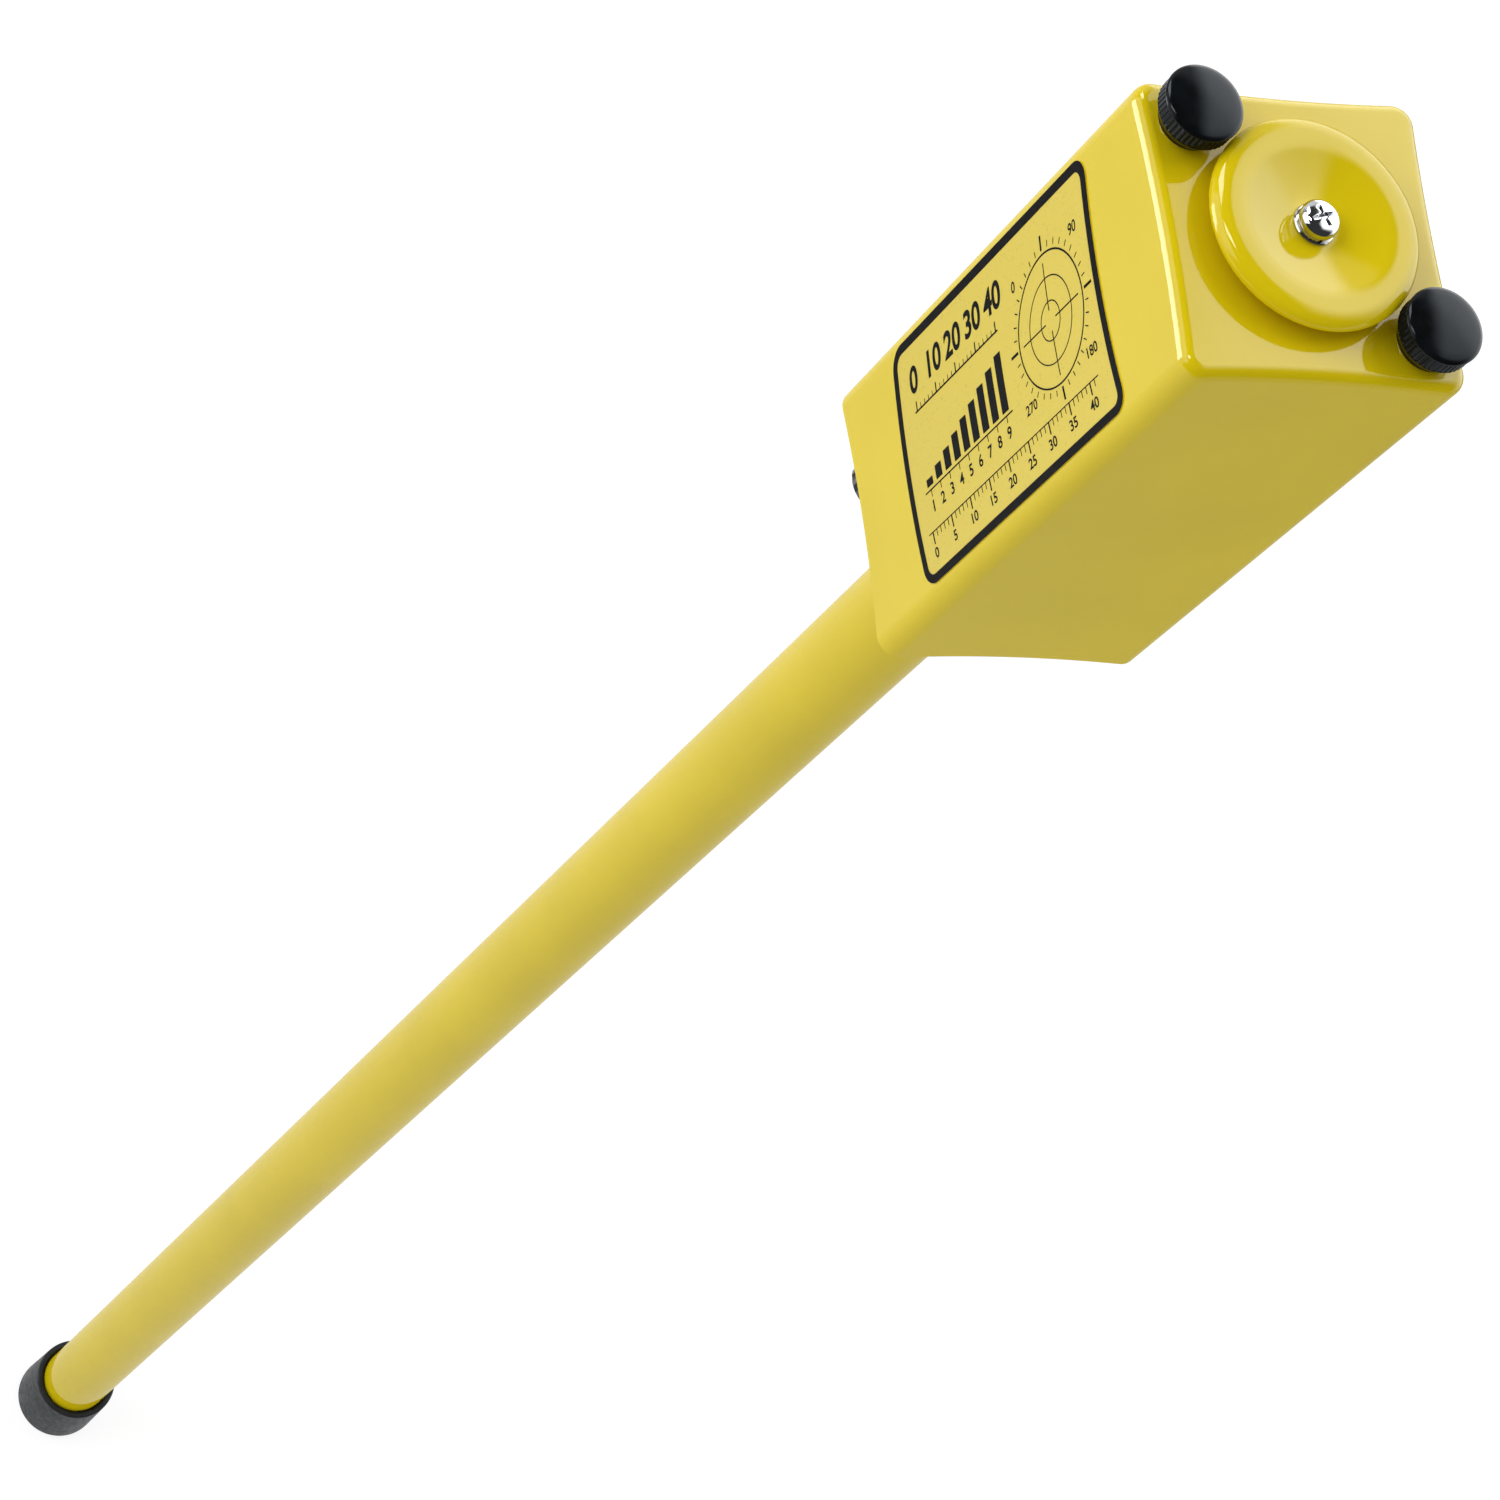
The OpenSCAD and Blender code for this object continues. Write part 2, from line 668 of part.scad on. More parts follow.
module cover() {
    edge = [for (i = [0 : edge_steps]) let (t = 90 * i / edge_steps)
        [box_top - edge_r + edge_r * sin(t), half_at(box_top - edge_r) - edge_r * (1 - cos(t)),
         corner_r - edge_r * (1 - cos(t))]];
    color([0.90, 0.82, 0.28]) difference() {
        loft(concat([[wand_len, half_at(wand_len), corner_r]], edge));
        loft([[wand_len - 1, half_at(wand_len - 1) - cover_wall, corner_r - cover_wall],
              [inner_top, half_at(inner_top) - cover_wall, corner_r - cover_wall]]);
        for (p = THUMBS) translate([p.x, p.y, inner_top]) {
            translate([0, 0, -1]) cylinder(r = shank_r + run_fit, h = cover_top + 2);
            translate([0, 0, -1]) cylinder(r = retainer_r + fit, h = retainer_t + 1);
        }
        translate([0, 0, inner_top - 1]) cylinder(r = centre_r + fit, h = cover_top + 2);
        for (i = [0 : sound_holes - 1]) rotate(360 * i / sound_holes) translate([sound_r, 0, inner_top - 1])
            cylinder(r = sound_hole_r, h = cover_top + 2);
    }
}

module label() {
    low = label_top - label_len;
    c = label_w / 2 - label_round;
    upper = concat(
        [for (t = [0 : 15 : 90]) [c + label_round * cos(t), label_len - label_round * (1 - sin(t))]],
        [for (i = [1 : 7]) [c * (1 - i / 4), label_len]],
        [for (t = [90 : 15 : 180]) [-c + label_round * cos(t), label_len - label_round * (1 - sin(t))]]);
    outline = concat(upper, [for (p = upper) [-p.x, label_len - p.y]]);
    color([0.93, 0.86, 0.35]) intersection() {
        difference() {
            box_body(low - 5, label_top + 5, label_t);
            box_body(low - 6, label_top + 6, label_gap);
        }
        translate([0, 0, low]) rotate([90, 0, 0]) linear_extrude(box_w) polygon(
            [for (p = outline) [p.x, p.y - label_sag * (1 - pow(2 * p.x / label_w, 2))]]);
    }
}

module sound_deflector() {
    half_t = (disc_top - disc_gap) / 2;
    ring_r = disc_d / 2 - disc_round;
    low = disc_top - dish_depth;
    rim = [for (t = [-90 : 10 : 90])
        [ring_r + disc_round * cos(t), disc_gap + half_t + half_t * sin(t)]];
    dish = [for (s = [1 : -0.1 : 0]) [dish_seat_r + (dish_r - dish_seat_r) * s,
        low + (dish_depth - 0.4) * pow(s, 1.6)]];
    color([0.90, 0.82, 0.28]) translate([0, 0, box_top]) rotate_extrude($fn = fine) polygon(concat(
        [[centre_r + fit, 0], [boss_r, 0], [boss_r, disc_gap]], rim, [[dish_r + 0.5, disc_top]], dish,
        [[centre_r + fit, low]]));
}

module deflector_washer() {
    color([0.75, 0.76, 0.78]) translate([0, 0, seat_z])
        ring(dish_seat_r - 0.2, centre_r + fit, flat_washer_t);
}

module deflector_lock_washer() {
    gap_w = 0.8;
    color([0.7, 0.71, 0.73]) translate([0, 0, seat_z + flat_washer_t]) difference() {
        ring(centre_head_r - 0.2, centre_r + fit, lock_washer_t);
        translate([centre_r - 1, -gap_w / 2, -1]) cube([centre_head_r, gap_w, lock_washer_t + 2]);
    }
}

module deflector_screw() {
    cross_w = 1.1;
    cross_len = 5;
    cross_z = centre_head_z + centre_head_h - 1.7;
    shank_end = inner_top - lock_nut_h - 0.8;
    shoulder = [for (t = [0 : 10 : 90])
        [centre_head_r - 1.6 + 1.6 * cos(t), 1 + (centre_head_h - 1.2) * sin(t)]];
    color([0.8, 0.81, 0.83]) difference() {
        union() {
            translate([0, 0, shank_end]) cylinder(r = centre_r, h = centre_head_z - shank_end);
            translate([0, 0, centre_head_z]) rotate_extrude($fn = fine)
                polygon(concat([[0, 0], [centre_head_r, 0]], shoulder, [[0, centre_head_h]]));
        }
        for (a = [0, 90]) rotate(20 + a) translate([-cross_len / 2, -cross_w / 2, cross_z])
            cube([cross_len, cross_w, 3]);
    }
}

module deflector_nut() {
    color([0.72, 0.73, 0.75]) translate([0, 0, inner_top - lock_nut_h])
        hex_nut(lock_nut_flats, centre_r, lock_nut_h);
}

module screw_retainers() {
    color([0.9, 0.9, 0.88]) for (p = THUMBS) translate([p.x, p.y, inner_top])
        ring(retainer_r, shank_r + run_fit, retainer_t);
}

module thumb_washer(p) {
    color([0.7, 0.71, 0.73]) translate([p.x, p.y, box_top]) ring(washer_r, shank_r + run_fit, washer_t);
}

module thumb_screw(p) {
    thread_end = thread_top - thread_len;
    color([0.7, 0.71, 0.73]) translate([p.x, p.y, 0]) {
        translate([0, 0, thread_top - 0.5])
            cylinder(r = shank_r, h = head_z + head_h - 3 - thread_top + 0.5);
        translate([0, 0, thread_end]) cylinder(d = thread_d, h = thread_len);
    }
}

module thumb_head(p) {
    r = thumb_d / 2;
    rib_r = r - 0.15;
    rib_z = head_h * 0.42;
    rim_z = head_h - 1.4;
    color([0.05, 0.05, 0.055]) translate([p.x, p.y, head_z]) difference() {
        union() {
            cylinder(r1 = head_base_r, r2 = rib_r - rib_depth - 0.1, h = rib_z, $fn = fine);
            translate([0, 0, rib_z]) linear_extrude(rim_z - rib_z)
                polygon(toothed(rib_r, rib_count, rib_depth));
            translate([0, 0, rim_z]) rotate_extrude($fn = fine)
                polygon([[0, 0], [r, 0], [r, 0.3], [r - 0.35, 0.7], [r - 1.1, 0.95], [r * 0.55, 1.28],
                         [0, 1.4]]);
        }
        translate([0, 0, -1]) cylinder(r = shank_r, h = head_h - 2);
    }
}

module left_thumb_washer() { thumb_washer(THUMBS[0]); }
module left_thumb_screw() { thumb_screw(THUMBS[0]); }
module left_thumb_head() { thumb_head(THUMBS[0]); }
module right_thumb_washer() { thumb_washer(THUMBS[1]); }
module right_thumb_screw() { thumb_screw(THUMBS[1]); }
module right_thumb_head() { thumb_head(THUMBS[1]); }

tip_cap();
wand_tube();
tip_bumper();
sensor_carrier();
lower_sensor_bobbin();
lower_sensor_winding();
upper_sensor_bobbin();
upper_sensor_winding();
centring_rings();
cable_plug();
sensor_cable();
tube_seal();
end_plate();
cover_gasket();
tube_collar();
collar_screws();
front_rail();
rear_rail();
rail_screws();
speaker_shelf();
standoffs();
circuit_board();
board_components();
left_battery_holder();
right_battery_holder();
left_cells();
right_cells();
battery_contacts();
battery_leads();
speaker_leads();
control_leads();
speaker_frame();
speaker_cone();
speaker_magnet();
speaker_gasket();
volume_control();
volume_nut();
volume_shaft();
volume_knob();
volume_set_screw();
sensitivity_switch();
sensitivity_nut();
sensitivity_shaft();
sensitivity_knob();
sensitivity_set_screw();
cover();
label();
sound_deflector();
deflector_screw();
deflector_lock_washer();
deflector_washer();
deflector_nut();
screw_retainers();
left_thumb_washer();
left_thumb_screw();
left_thumb_head();
right_thumb_washer();
right_thumb_screw();
right_thumb_head();
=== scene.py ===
"""Looks of a hand-held magnetic locator: the outer pieces, their finishes and a plain studio stage.

Metres. Z runs up the wand from the underside of its tip, and the label faces -Y.
"""

import json
import math

import bpy
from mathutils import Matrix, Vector


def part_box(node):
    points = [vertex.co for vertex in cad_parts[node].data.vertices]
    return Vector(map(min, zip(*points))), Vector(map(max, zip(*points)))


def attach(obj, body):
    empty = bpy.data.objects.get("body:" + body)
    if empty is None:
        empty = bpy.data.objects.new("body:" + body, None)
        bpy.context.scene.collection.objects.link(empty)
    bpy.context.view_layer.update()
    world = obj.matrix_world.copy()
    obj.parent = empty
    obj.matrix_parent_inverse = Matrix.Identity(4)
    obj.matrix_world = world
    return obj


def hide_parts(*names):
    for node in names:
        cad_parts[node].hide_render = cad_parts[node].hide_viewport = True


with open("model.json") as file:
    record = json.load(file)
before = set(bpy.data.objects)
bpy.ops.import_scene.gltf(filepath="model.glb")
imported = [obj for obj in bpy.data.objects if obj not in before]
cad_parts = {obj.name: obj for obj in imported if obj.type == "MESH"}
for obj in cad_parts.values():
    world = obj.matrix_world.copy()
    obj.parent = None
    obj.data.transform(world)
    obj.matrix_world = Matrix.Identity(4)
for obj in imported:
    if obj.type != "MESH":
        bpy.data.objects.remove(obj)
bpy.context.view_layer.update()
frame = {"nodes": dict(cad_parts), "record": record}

bl_info = {
    "name": "Magnetic Locator",
    "version": (1, 0, 0),
    "blender": (4, 5, 0),
    "location": "View3D > Sidebar > Locator",
    "description": "Builds the outer pieces and finishes of a magnetic locator",
    "category": "Add Mesh",
}

MM = 0.001
SCREW_BORE = 2.6 * MM
# The slack that is allowed when vertices are picked by their place
HAIR = 0.01 * MM
# The tint of reflections in black plastic
COOL = (0.80, 0.90, 1.0)

# Low and high corners of the solids that the pieces take the place of
COVER_LOW, COVER_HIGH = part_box("cover")
LABEL_LOW, LABEL_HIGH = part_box("label")
DISC_LOW, DISC_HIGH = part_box("sound_deflector")
TUBE_LOW, TUBE_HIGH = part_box("wand_tube")
CAP_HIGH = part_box("tip_cap")[1]
WASHER_LOW, WASHER_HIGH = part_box("deflector_washer")
SPRING_LOW, SPRING_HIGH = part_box("deflector_lock_washer")
LABEL_WIDTH = LABEL_HIGH.x - LABEL_LOW.x
THUMBS = {"left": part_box("left_thumb_head"), "right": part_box("right_thumb_head")}
KNOBS = {"volume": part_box("volume_knob"), "sensitivity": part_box("sensitivity_knob")}


# Properties


def length(name, description, value):
    """A size in metres that the user may change."""
    return bpy.props.FloatProperty(
        name=name, description=description, default=value, min=0.0, precision=5, unit="LENGTH"
    )


def colour(name, description, value):
    """A colour that the user may change."""
    return bpy.props.FloatVectorProperty(
        name=name, description=description, default=value, subtype="COLOR", min=0.0, max=1.0
    )


class LocatorSizes(bpy.types.PropertyGroup):
    """Sizes that the outer pieces take."""

    draft: length("Draft", "Extra half width of the box at its open rim", 0.1 * MM)
    bow: length("Wall bow", "How far the middle of each wall is drawn in", 0.95 * MM)
    corner: length("Corner radius", "Radius of the upright corners", 5 * MM)
    edge: length("Edge radius", "Radius round the end face", 2.8 * MM)
    wall: length("Wall", "Thickness of the box's wall", 2.5 * MM)
    label_sag: length("Label sag", "How far the label's ends are drawn towards the tip", 4 * MM)
    label_round: length("Label corner", "Radius of the label's corners", 5 * MM)
    label_border: length("Label border", "Width of the label's black border", 2.3 * MM)
    disc_round: length("Disc rim", "Breadth of the disc's rounded rim", 3.8 * MM)
    disc_flat: length("Disc flat", "Breadth of the disc's flat ring", 4.7 * MM)
    dish: length("Dish", "Depth of the disc's dish", 3 * MM)


class LocatorColours(bpy.types.PropertyGroup):
    """Colours of the finishes."""

    paint: colour("Paint", "Gloss paint of the box, tube and disc", (0.76, 0.585, 0.004))
    label: colour("Label", "Ground of the printed label", (0.65, 0.50, 0.020))
    ink: colour("Ink", "Print on the label", (0.005, 0.005, 0.006))
    black: colour("Black plastic", "Thumb screws and knobs", (0.0045, 0.0055, 0.0065))
    cap: colour("Tip cap", "Satin cap of the tip", (0.016, 0.017, 0.019))
    floor: colour("Floor", "Studio floor", (0.80, 0.80, 0.80))


# Modelling steps shared by the pieces


def object_mode():
    """Leaves edit mode if an object is open in it."""
    if bpy.context.object and bpy.context.object.mode != "OBJECT":
        bpy.ops.object.mode_set(mode="OBJECT")


def start_clean():
    """Deselects everything, in object mode."""
    object_mode()
    bpy.ops.object.select_all(action="DESELECT")


def only(obj):
    """Selects obj alone and makes it active."""
    start_clean()
    obj.select_set(True)
    bpy.context.view_layer.objects.active = obj


def pick(obj, kind, test):
    """Opens obj in edit mode with those of its vertices, edges or faces selected that pass the test."""
    only(obj)
    mesh = obj.data
    groups = {"VERT": mesh.vertices, "EDGE": mesh.edges, "FACE": mesh.polygons}
    for group in groups.values():
        group.foreach_set("select", [False] * len(group))
    for index in [item.index for item in groups[kind] if test(item)]:
        groups[kind][index].select = True
    bpy.context.tool_settings.mesh_select_mode = (kind == "VERT", kind == "EDGE", kind == "FACE")
    bpy.ops.object.mode_set(mode="EDIT")


def pick_all(obj):
    """Opens obj in edit mode with all of it selected."""
    only(obj)
    bpy.ops.object.mode_set(mode="EDIT")
    bpy.ops.mesh.select_all(action="SELECT")


def place(obj):
    """Puts the object's place, turn and size into its mesh."""
    only(obj)
    bpy.ops.object.transform_apply(location=True, rotation=True, scale=True)


def add(primitive, scale=(1, 1, 1), **settings):
    """Adds a primitive and puts its place, turn and size into its mesh."""
    start_clean()
    primitive(**settings)
    obj = bpy.context.object
    obj.scale = scale
    place(obj)
    return obj


def with_modifier(obj, kind, **settings):
    """Adds a modifier and applies it."""
    only(obj)
    modifier = obj.modifiers.new(kind.title(), kind)
    for key, value in settings.items():
        setattr(modifier, key, value)
    bpy.ops.object.modifier_apply(modifier=modifier.name)


def smooth(obj, degrees=32):
    """Shades smooth where faces meet at less than the angle."""
    only(obj)
    bpy.ops.object.shade_smooth_by_angle(angle=math.radians(degrees))


def join(objects):
    """Joins the objects into the first."""
    start_clean()
    for obj in objects:
        obj.select_set(True)
    bpy.context.view_layer.objects.active = objects[0]
    bpy.ops.object.join()
    return objects[0]


def cut_away(obj, cutters):
    """Takes the cutters' shape out of obj."""
    cutter = join(cutters) if len(cutters) > 1 else cutters[0]
    with_modifier(obj, "BOOLEAN", operation="DIFFERENCE", solver="EXACT", object=cutter)
    bpy.data.objects.remove(cutter)


def slice_up(obj, axis, reach, count):
    """Cuts obj across into strips on both sides of its middle, so that it can follow a curved wall."""
    for k in range(1, count):
        point = [0.0, 0.0, 0.0]
        normal = [0.0, 0.0, 0.0]
        point[axis] = -reach + 2 * reach * k / count
        normal[axis] = 1.0
        pick_all(obj)
        bpy.ops.mesh.bisect(plane_co=point, plane_no=normal)
    object_mode()


def rod(radius, low, high, x=0.0, y=0.0):
    """An upright cylinder between two heights."""
    cylinder = bpy.ops.mesh.primitive_cylinder_add
    middle = (x, y, (low + high) / 2)
    return add(cylinder, vertices=48, radius=radius, depth=high - low, location=middle)


def block(low, high):
    """A box between two corners."""
    low, high = Vector(low), Vector(high)
    return add(bpy.ops.mesh.primitive_cube_add, high - low, size=1, location=(low + high) / 2)


def foot_of(low, high):
    """The middle of a box's underside."""
    return ((low.x + high.x) / 2, (low.y + high.y) / 2, low.z)


def points(radius, height, *steps):
    """Points of an outline, each so many millimetres across and up from one place."""
    return [(radius + across * MM, height + up * MM) for across, up in steps]


def lathe(profile, foot=(0.0, 0.0, 0.0), *, steps):
    """Spins an outline of (radius, height) points round an upright axis.

    The outline is closed unless both of its ends lie on the axis.
    """
    start_clean()
    bpy.ops.mesh.primitive_plane_add(size=MM, location=(0, 0, 0))
    obj = bpy.context.object
    bpy.ops.object.mode_set(mode="EDIT")
    bpy.context.tool_settings.mesh_select_mode = (True, False, False)
    bpy.ops.mesh.select_all(action="SELECT")
    bpy.ops.mesh.merge(type="CENTER")
    bpy.ops.transform.translate(value=(profile[0][0], 0, profile[0][1]))
    for before, after in zip(profile, profile[1:]):
        step = (after[0] - before[0], 0, after[1] - before[1])
        bpy.ops.mesh.extrude_region_move(TRANSFORM_OT_translate={"value": step})
    object_mode()
    if profile[0][0] > 0 or profile[-1][0] > 0:
        last = len(profile) - 1
        pick(obj, "VERT", lambda v: v.index in (0, last))
        bpy.ops.mesh.edge_face_add()
    pick_all(obj)
    bpy.ops.mesh.spin(steps=steps, angle=math.radians(360), center=(0, 0, 0), axis=(0, 0, 1))
    bpy.ops.mesh.select_all(action="SELECT")
    bpy.ops.mesh.remove_doubles(threshold=2e-6)
    bpy.ops.mesh.normals_make_consistent(inside=False)
    object_mode()
    obj.location = foot
    place(obj)
    return obj


def washer(foot, outer, lower_edge, thick, upper_bore, steps):
    """A flat washer with its outer edges broken, and its bore's upper edge as given."""
    outline = [(SCREW_BORE, 0)]
    outline += points(outer, 0, (-0.1, 0), (0, lower_edge))
    outline += points(outer, thick, (0, -0.25), (-0.25, 0))
    obj = lathe(outline + upper_bore, foot, steps=steps)
    smooth(obj)
    return obj


def press_in(obj, foot, heights, radius, depth, columns, period, width):
    """Presses upright grooves into a lathed band: some columns of vertices out of every few move in."""
    x, y, z = foot
    near, far = heights

    def in_groove(v):
        across, along = v.co.x - x, v.co.y - y
        if not near < v.co.z < far or math.hypot(across, along) < radius - 5 * HAIR:
            return False
        column = round(math.degrees(math.atan2(along, across)) / (360 / columns))
        return column % period < width

    pick(obj, "VERT", in_groove)
    shrink = (radius - depth) / radius
    bpy.ops.transform.resize(value=(shrink, shrink, 1), center_override=(x, y, z))
    object_mode()


def arc(cx, cz, rx, rz, start, end, count):
    """Points of a part of an ellipse in an outline, its angles in degrees."""
    angles = [math.radians(start + (end - start) * i / count) for i in range(count + 1)]
    return [(cx + rx * math.cos(angle), cz + rz * math.sin(angle)) for angle in angles]


def soften(obj, width, degrees=40):
    """Rounds the sharp edges and keeps the large faces flat to the light."""
    with_modifier(
        obj,
        "BEVEL",
        width=width,
        segments=2,
        limit_method="ANGLE",
        angle_limit=math.radians(degrees),
        use_clamp_overlap=True,
    )
    smooth(obj)
    with_modifier(obj, "WEIGHTED_NORMAL", keep_sharp=True, weight=60)


def dress(obj, name, body, material, nodes=()):
    """Names a finished piece, gives it its finish and lets it move with its body."""
    object_mode()
    obj.name = name
    obj.data.name = name
    obj.data.materials.clear()
    obj.data.materials.append(material)
    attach(obj, body)
    if nodes:
        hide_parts(*nodes)
    return obj


def wall_out(x, z):
    """Distance from the box's middle to its outer wall at a place on the wall."""
    sizes = bpy.context.scene.locator_sizes
    top, low = COVER_HIGH.z, COVER_LOW.z
    half = COVER_HIGH.x - sizes.draft + sizes.draft * (top - z) / (top - low)
    lean = math.atan(2 * sizes.bow / (half - sizes.corner))
    reach = half - sizes.corner - sizes.corner * math.sin(lean)
    edge = half - sizes.corner + sizes.corner * math.cos(lean)
    if abs(x) <= reach:
        return edge - sizes.bow * (1 - (x / reach) ** 2)
    side = abs(x) - (half - sizes.corner)
    return half - sizes.corner + math.sqrt(max(0.0, sizes.corner**2 - side**2))


def wrap_on_wall(obj, lift):
    """Lays a flat drawing on the label's wall: x runs up the box, y to the left as one faces it."""
    sag = bpy.context.scene.locator_sizes.label_sag
    half = LABEL_WIDTH / 2
    low = LABEL_HIGH.z - label_length()
    for vertex in obj.data.vertices:
        u, v = vertex.co.x, vertex.co.y
        z = low + u - sag * (1 - (v / half) ** 2)
        vertex.co = (-v, -wall_out(-v, z) - lift, z)
    obj.data.update()


def label_length():
    """Length of the label along the box."""
    return LABEL_HIGH.z - LABEL_LOW.z - bpy.context.scene.locator_sizes.label_sag


# Nodes shared by the finishes and the stage


def new_node(tree, kind, **values):
    """Adds a node and sets inputs of it by name, with _ in place of a space."""
    made = tree.nodes.new("ShaderNode" + kind)
    for name, value in values.items():
        made.inputs[name.replace("_", " ")].default_value = value
    return made


def level(tree, source, low, high, start=0.0, end=1.0, curve="LINEAR"):
    """Goes from start to end as the source goes from low to high. The end may be a node's output."""
    made = new_node(tree, "MapRange", From_Min=low, From_Max=high, To_Min=start)
    made.interpolation_type = curve
    if isinstance(end, bpy.types.NodeSocket):
        tree.links.new(end, made.inputs["To Max"])
    else:
        made.inputs["To Max"].default_value = end
    tree.links.new(source, made.inputs["Value"])
    return made.outputs["Result"]


def combine(tree, operation, first, second):
    """The sum, the product or the greater one of two outputs."""
    made = tree.nodes.new("ShaderNodeMath")
    made.operation = operation
    tree.links.new(first, made.inputs[0])
    tree.links.new(second, made.inputs[1])
    return made.outputs["Value"]


def measure(tree, coordinates, operation, axis=None):
    """Distance from the origin, or how far a place or a direction goes along an axis."""
    made = tree.nodes.new("ShaderNodeVectorMath")
    made.operation = operation
    if axis:
        made.inputs[1].default_value = axis
    tree.links.new(tree.nodes.new("ShaderNodeTexCoord").outputs[coordinates], made.inputs[0])
    return made.outputs["Value"]


def blend(tree, factor, first, second):
    """Goes from the first shader to the second as the factor goes from 0 to 1."""
    made = tree.nodes.new("ShaderNodeMixShader")
    for source, target in zip((factor, first, second), made.inputs):
        tree.links.new(source, target)
    return made.outputs[0]


def both(tree, first, second):
    """Two shaders added together."""
    made = tree.nodes.new("ShaderNodeAddShader")
    tree.links.new(first, made.inputs[0])
    tree.links.new(second, made.inputs[1])
    return made.outputs[0]


# Finishes


class Finish:
    """A node material that is built up step by step, its patterns fixed to the piece."""

    def __init__(
        self,
        name,
        base,
        metallic=0.0,
        roughness=0.4,
        coat=0.0,
        coat_roughness=0.05,
        specular=0.5,
        tint=(1, 1, 1),
    ):
        self.material = bpy.data.materials.new(name)
        self.material.use_nodes = True
        self.material.diffuse_color = (*base, 1.0)
        self.tree = self.material.node_tree
        self.shader = self.tree.nodes["Principled BSDF"]
        values = {
            "Base Color": (*base, 1.0),
            "Metallic": metallic,
            "Roughness": roughness,
            "Coat Weight": coat,
            "Coat Roughness": coat_roughness,
            "Specular IOR Level": specular,
            "Specular Tint": (*tint, 1.0),
        }
        for key, value in values.items():
            self.shader.inputs[key].default_value = value
        self.base = base
        self.where = self.tree.nodes.new("ShaderNodeTexCoord").outputs["Object"]
        self.normal = None

    def feed(self, source, name):
        """Lets a node's output set one of the shader's inputs."""
        self.tree.links.new(source, self.shader.inputs[name])

    def pattern(self, kind, output, where=None, **values):
        """A node's output over the piece's own coordinates, or over changed ones."""
        made = new_node(self.tree, kind, **values)
        self.tree.links.new(where or self.where, made.inputs["Vector"])
        return made.outputs[output]

    def stretch(self, scale):
        """The piece's own coordinates, closer together along some axes."""
        return self.pattern("Mapping", "Vector", Scale=scale)

    def noise(self, scale, detail=3.0, where=None, rough=0.5):
        """Cloudy noise."""
        return self.pattern("TexNoise", "Fac", where, Scale=scale, Detail=detail, Roughness=rough)

    def cells(self, scale):
        """Distance from the nearest one of many scattered points."""
        return self.pattern("TexVoronoi", "Distance", Scale=scale)

    def ramp(self, factor, stops, interpolation="LINEAR"):
        """Colours that follow one another as the factor rises."""
        made = self.tree.nodes.new("ShaderNodeValToRGB")
        made.color_ramp.interpolation = interpolation
        points = made.color_ramp.elements
        while len(points) < len(stops):
            points.new(0.5)
        for point, (position, shade) in zip(points, stops):
            point.position = position
            point.color = (*shade, 1.0)
        self.tree.links.new(factor, made.inputs["Fac"])
        return made.outputs["Color"]

    def vary(self, factor, spread, low=0.35, high=0.65):
        """Colour that wanders a little round the base colour."""
        dark = tuple(c * (1 - spread) for c in self.base)
        light = tuple(min(1.0, c * (1 + spread)) for c in self.base)
        self.feed(self.ramp(factor, [(low, dark), (high, light)]), "Base Color")

    def rough(self, factor, low, high):
        """Roughness that wanders between two values."""
        self.feed(level(self.tree, factor, 0.3, 0.7, low, high), "Roughness")

    def bump(self, height, strength, distance):
        """A fine relief, laid over the one that is there."""
        made = new_node(self.tree, "Bump", Strength=strength, Distance=distance)
        self.tree.links.new(height, made.inputs["Height"])
        if self.normal:
            self.tree.links.new(self.normal, made.inputs["Normal"])
        self.normal = made.outputs["Normal"]
        self.feed(self.normal, "Normal")


def gloss_paint(name="yellow_gloss_paint", coat=0.45):
    """Sprayed gloss enamel with a trace of orange peel."""
    base = tuple(bpy.context.scene.locator_colours.paint)
    finish = Finish(name, base, roughness=0.35, coat=coat, coat_roughness=0.06, specular=0.0)
    finish.shader.inputs["Coat IOR"].default_value = 1.75
    finish.vary(finish.noise(22, 3), 0.03)
    finish.rough(finish.noise(160, 3), 0.30, 0.42)
    finish.bump(finish.noise(420, 2), 0.10, 0.03 * MM)
    finish.bump(finish.noise(60, 1), 0.05, 0.05 * MM)
    return finish.material


def label_stock():
    """Printed film with a fine stipple in its ground."""
    base = tuple(bpy.context.scene.locator_colours.label)
    finish = Finish("label_film", base, roughness=0.38, coat=0.15, coat_roughness=0.18, specular=0.25)
    grain = finish.noise(900, 2)
    stipple = combine(finish.tree, "ADD", finish.cells(1150), grain)
    dark = tuple(c * 0.80 for c in base)
    finish.feed(finish.ramp(stipple, [(0.52, dark), (0.74, base)]), "Base Color")
    finish.bump(grain, 0.06, 0.02 * MM)
    return finish.material


def print_ink():
    """Black screen print."""
    base = tuple(bpy.context.scene.locator_colours.ink)
    finish = Finish("label_ink", base, roughness=0.42, specular=0.015)
    finish.vary(finish.noise(700, 2), 0.35)
    finish.bump(finish.noise(1500, 1), 0.05, 0.01 * MM)
    return finish.material


def gloss_black(name="black_gloss_plastic"):
    """Moulded black plastic."""
    base = tuple(bpy.context.scene.locator_colours.black)
    finish = Finish(name, base, roughness=0.1, specular=0.13, tint=COOL)
    finish.vary(finish.noise(300, 3), 0.25)
    finish.rough(finish.noise(900, 2), 0.08, 0.13)
    finish.bump(finish.noise(500, 2), 0.05, 0.02 * MM)
    return finish.material


def satin_black(name, base, texture=0.12):
    """Black with a fine satin texture."""
    finish = Finish(name, base, roughness=0.45, specular=0.22, tint=COOL)
    finish.vary(finish.noise(140, 4), 0.30)
    finish.rough(finish.noise(500, 2), 0.40, 0.55)
    finish.bump(finish.noise(2200, 2), texture, 0.03 * MM)
    return finish.material


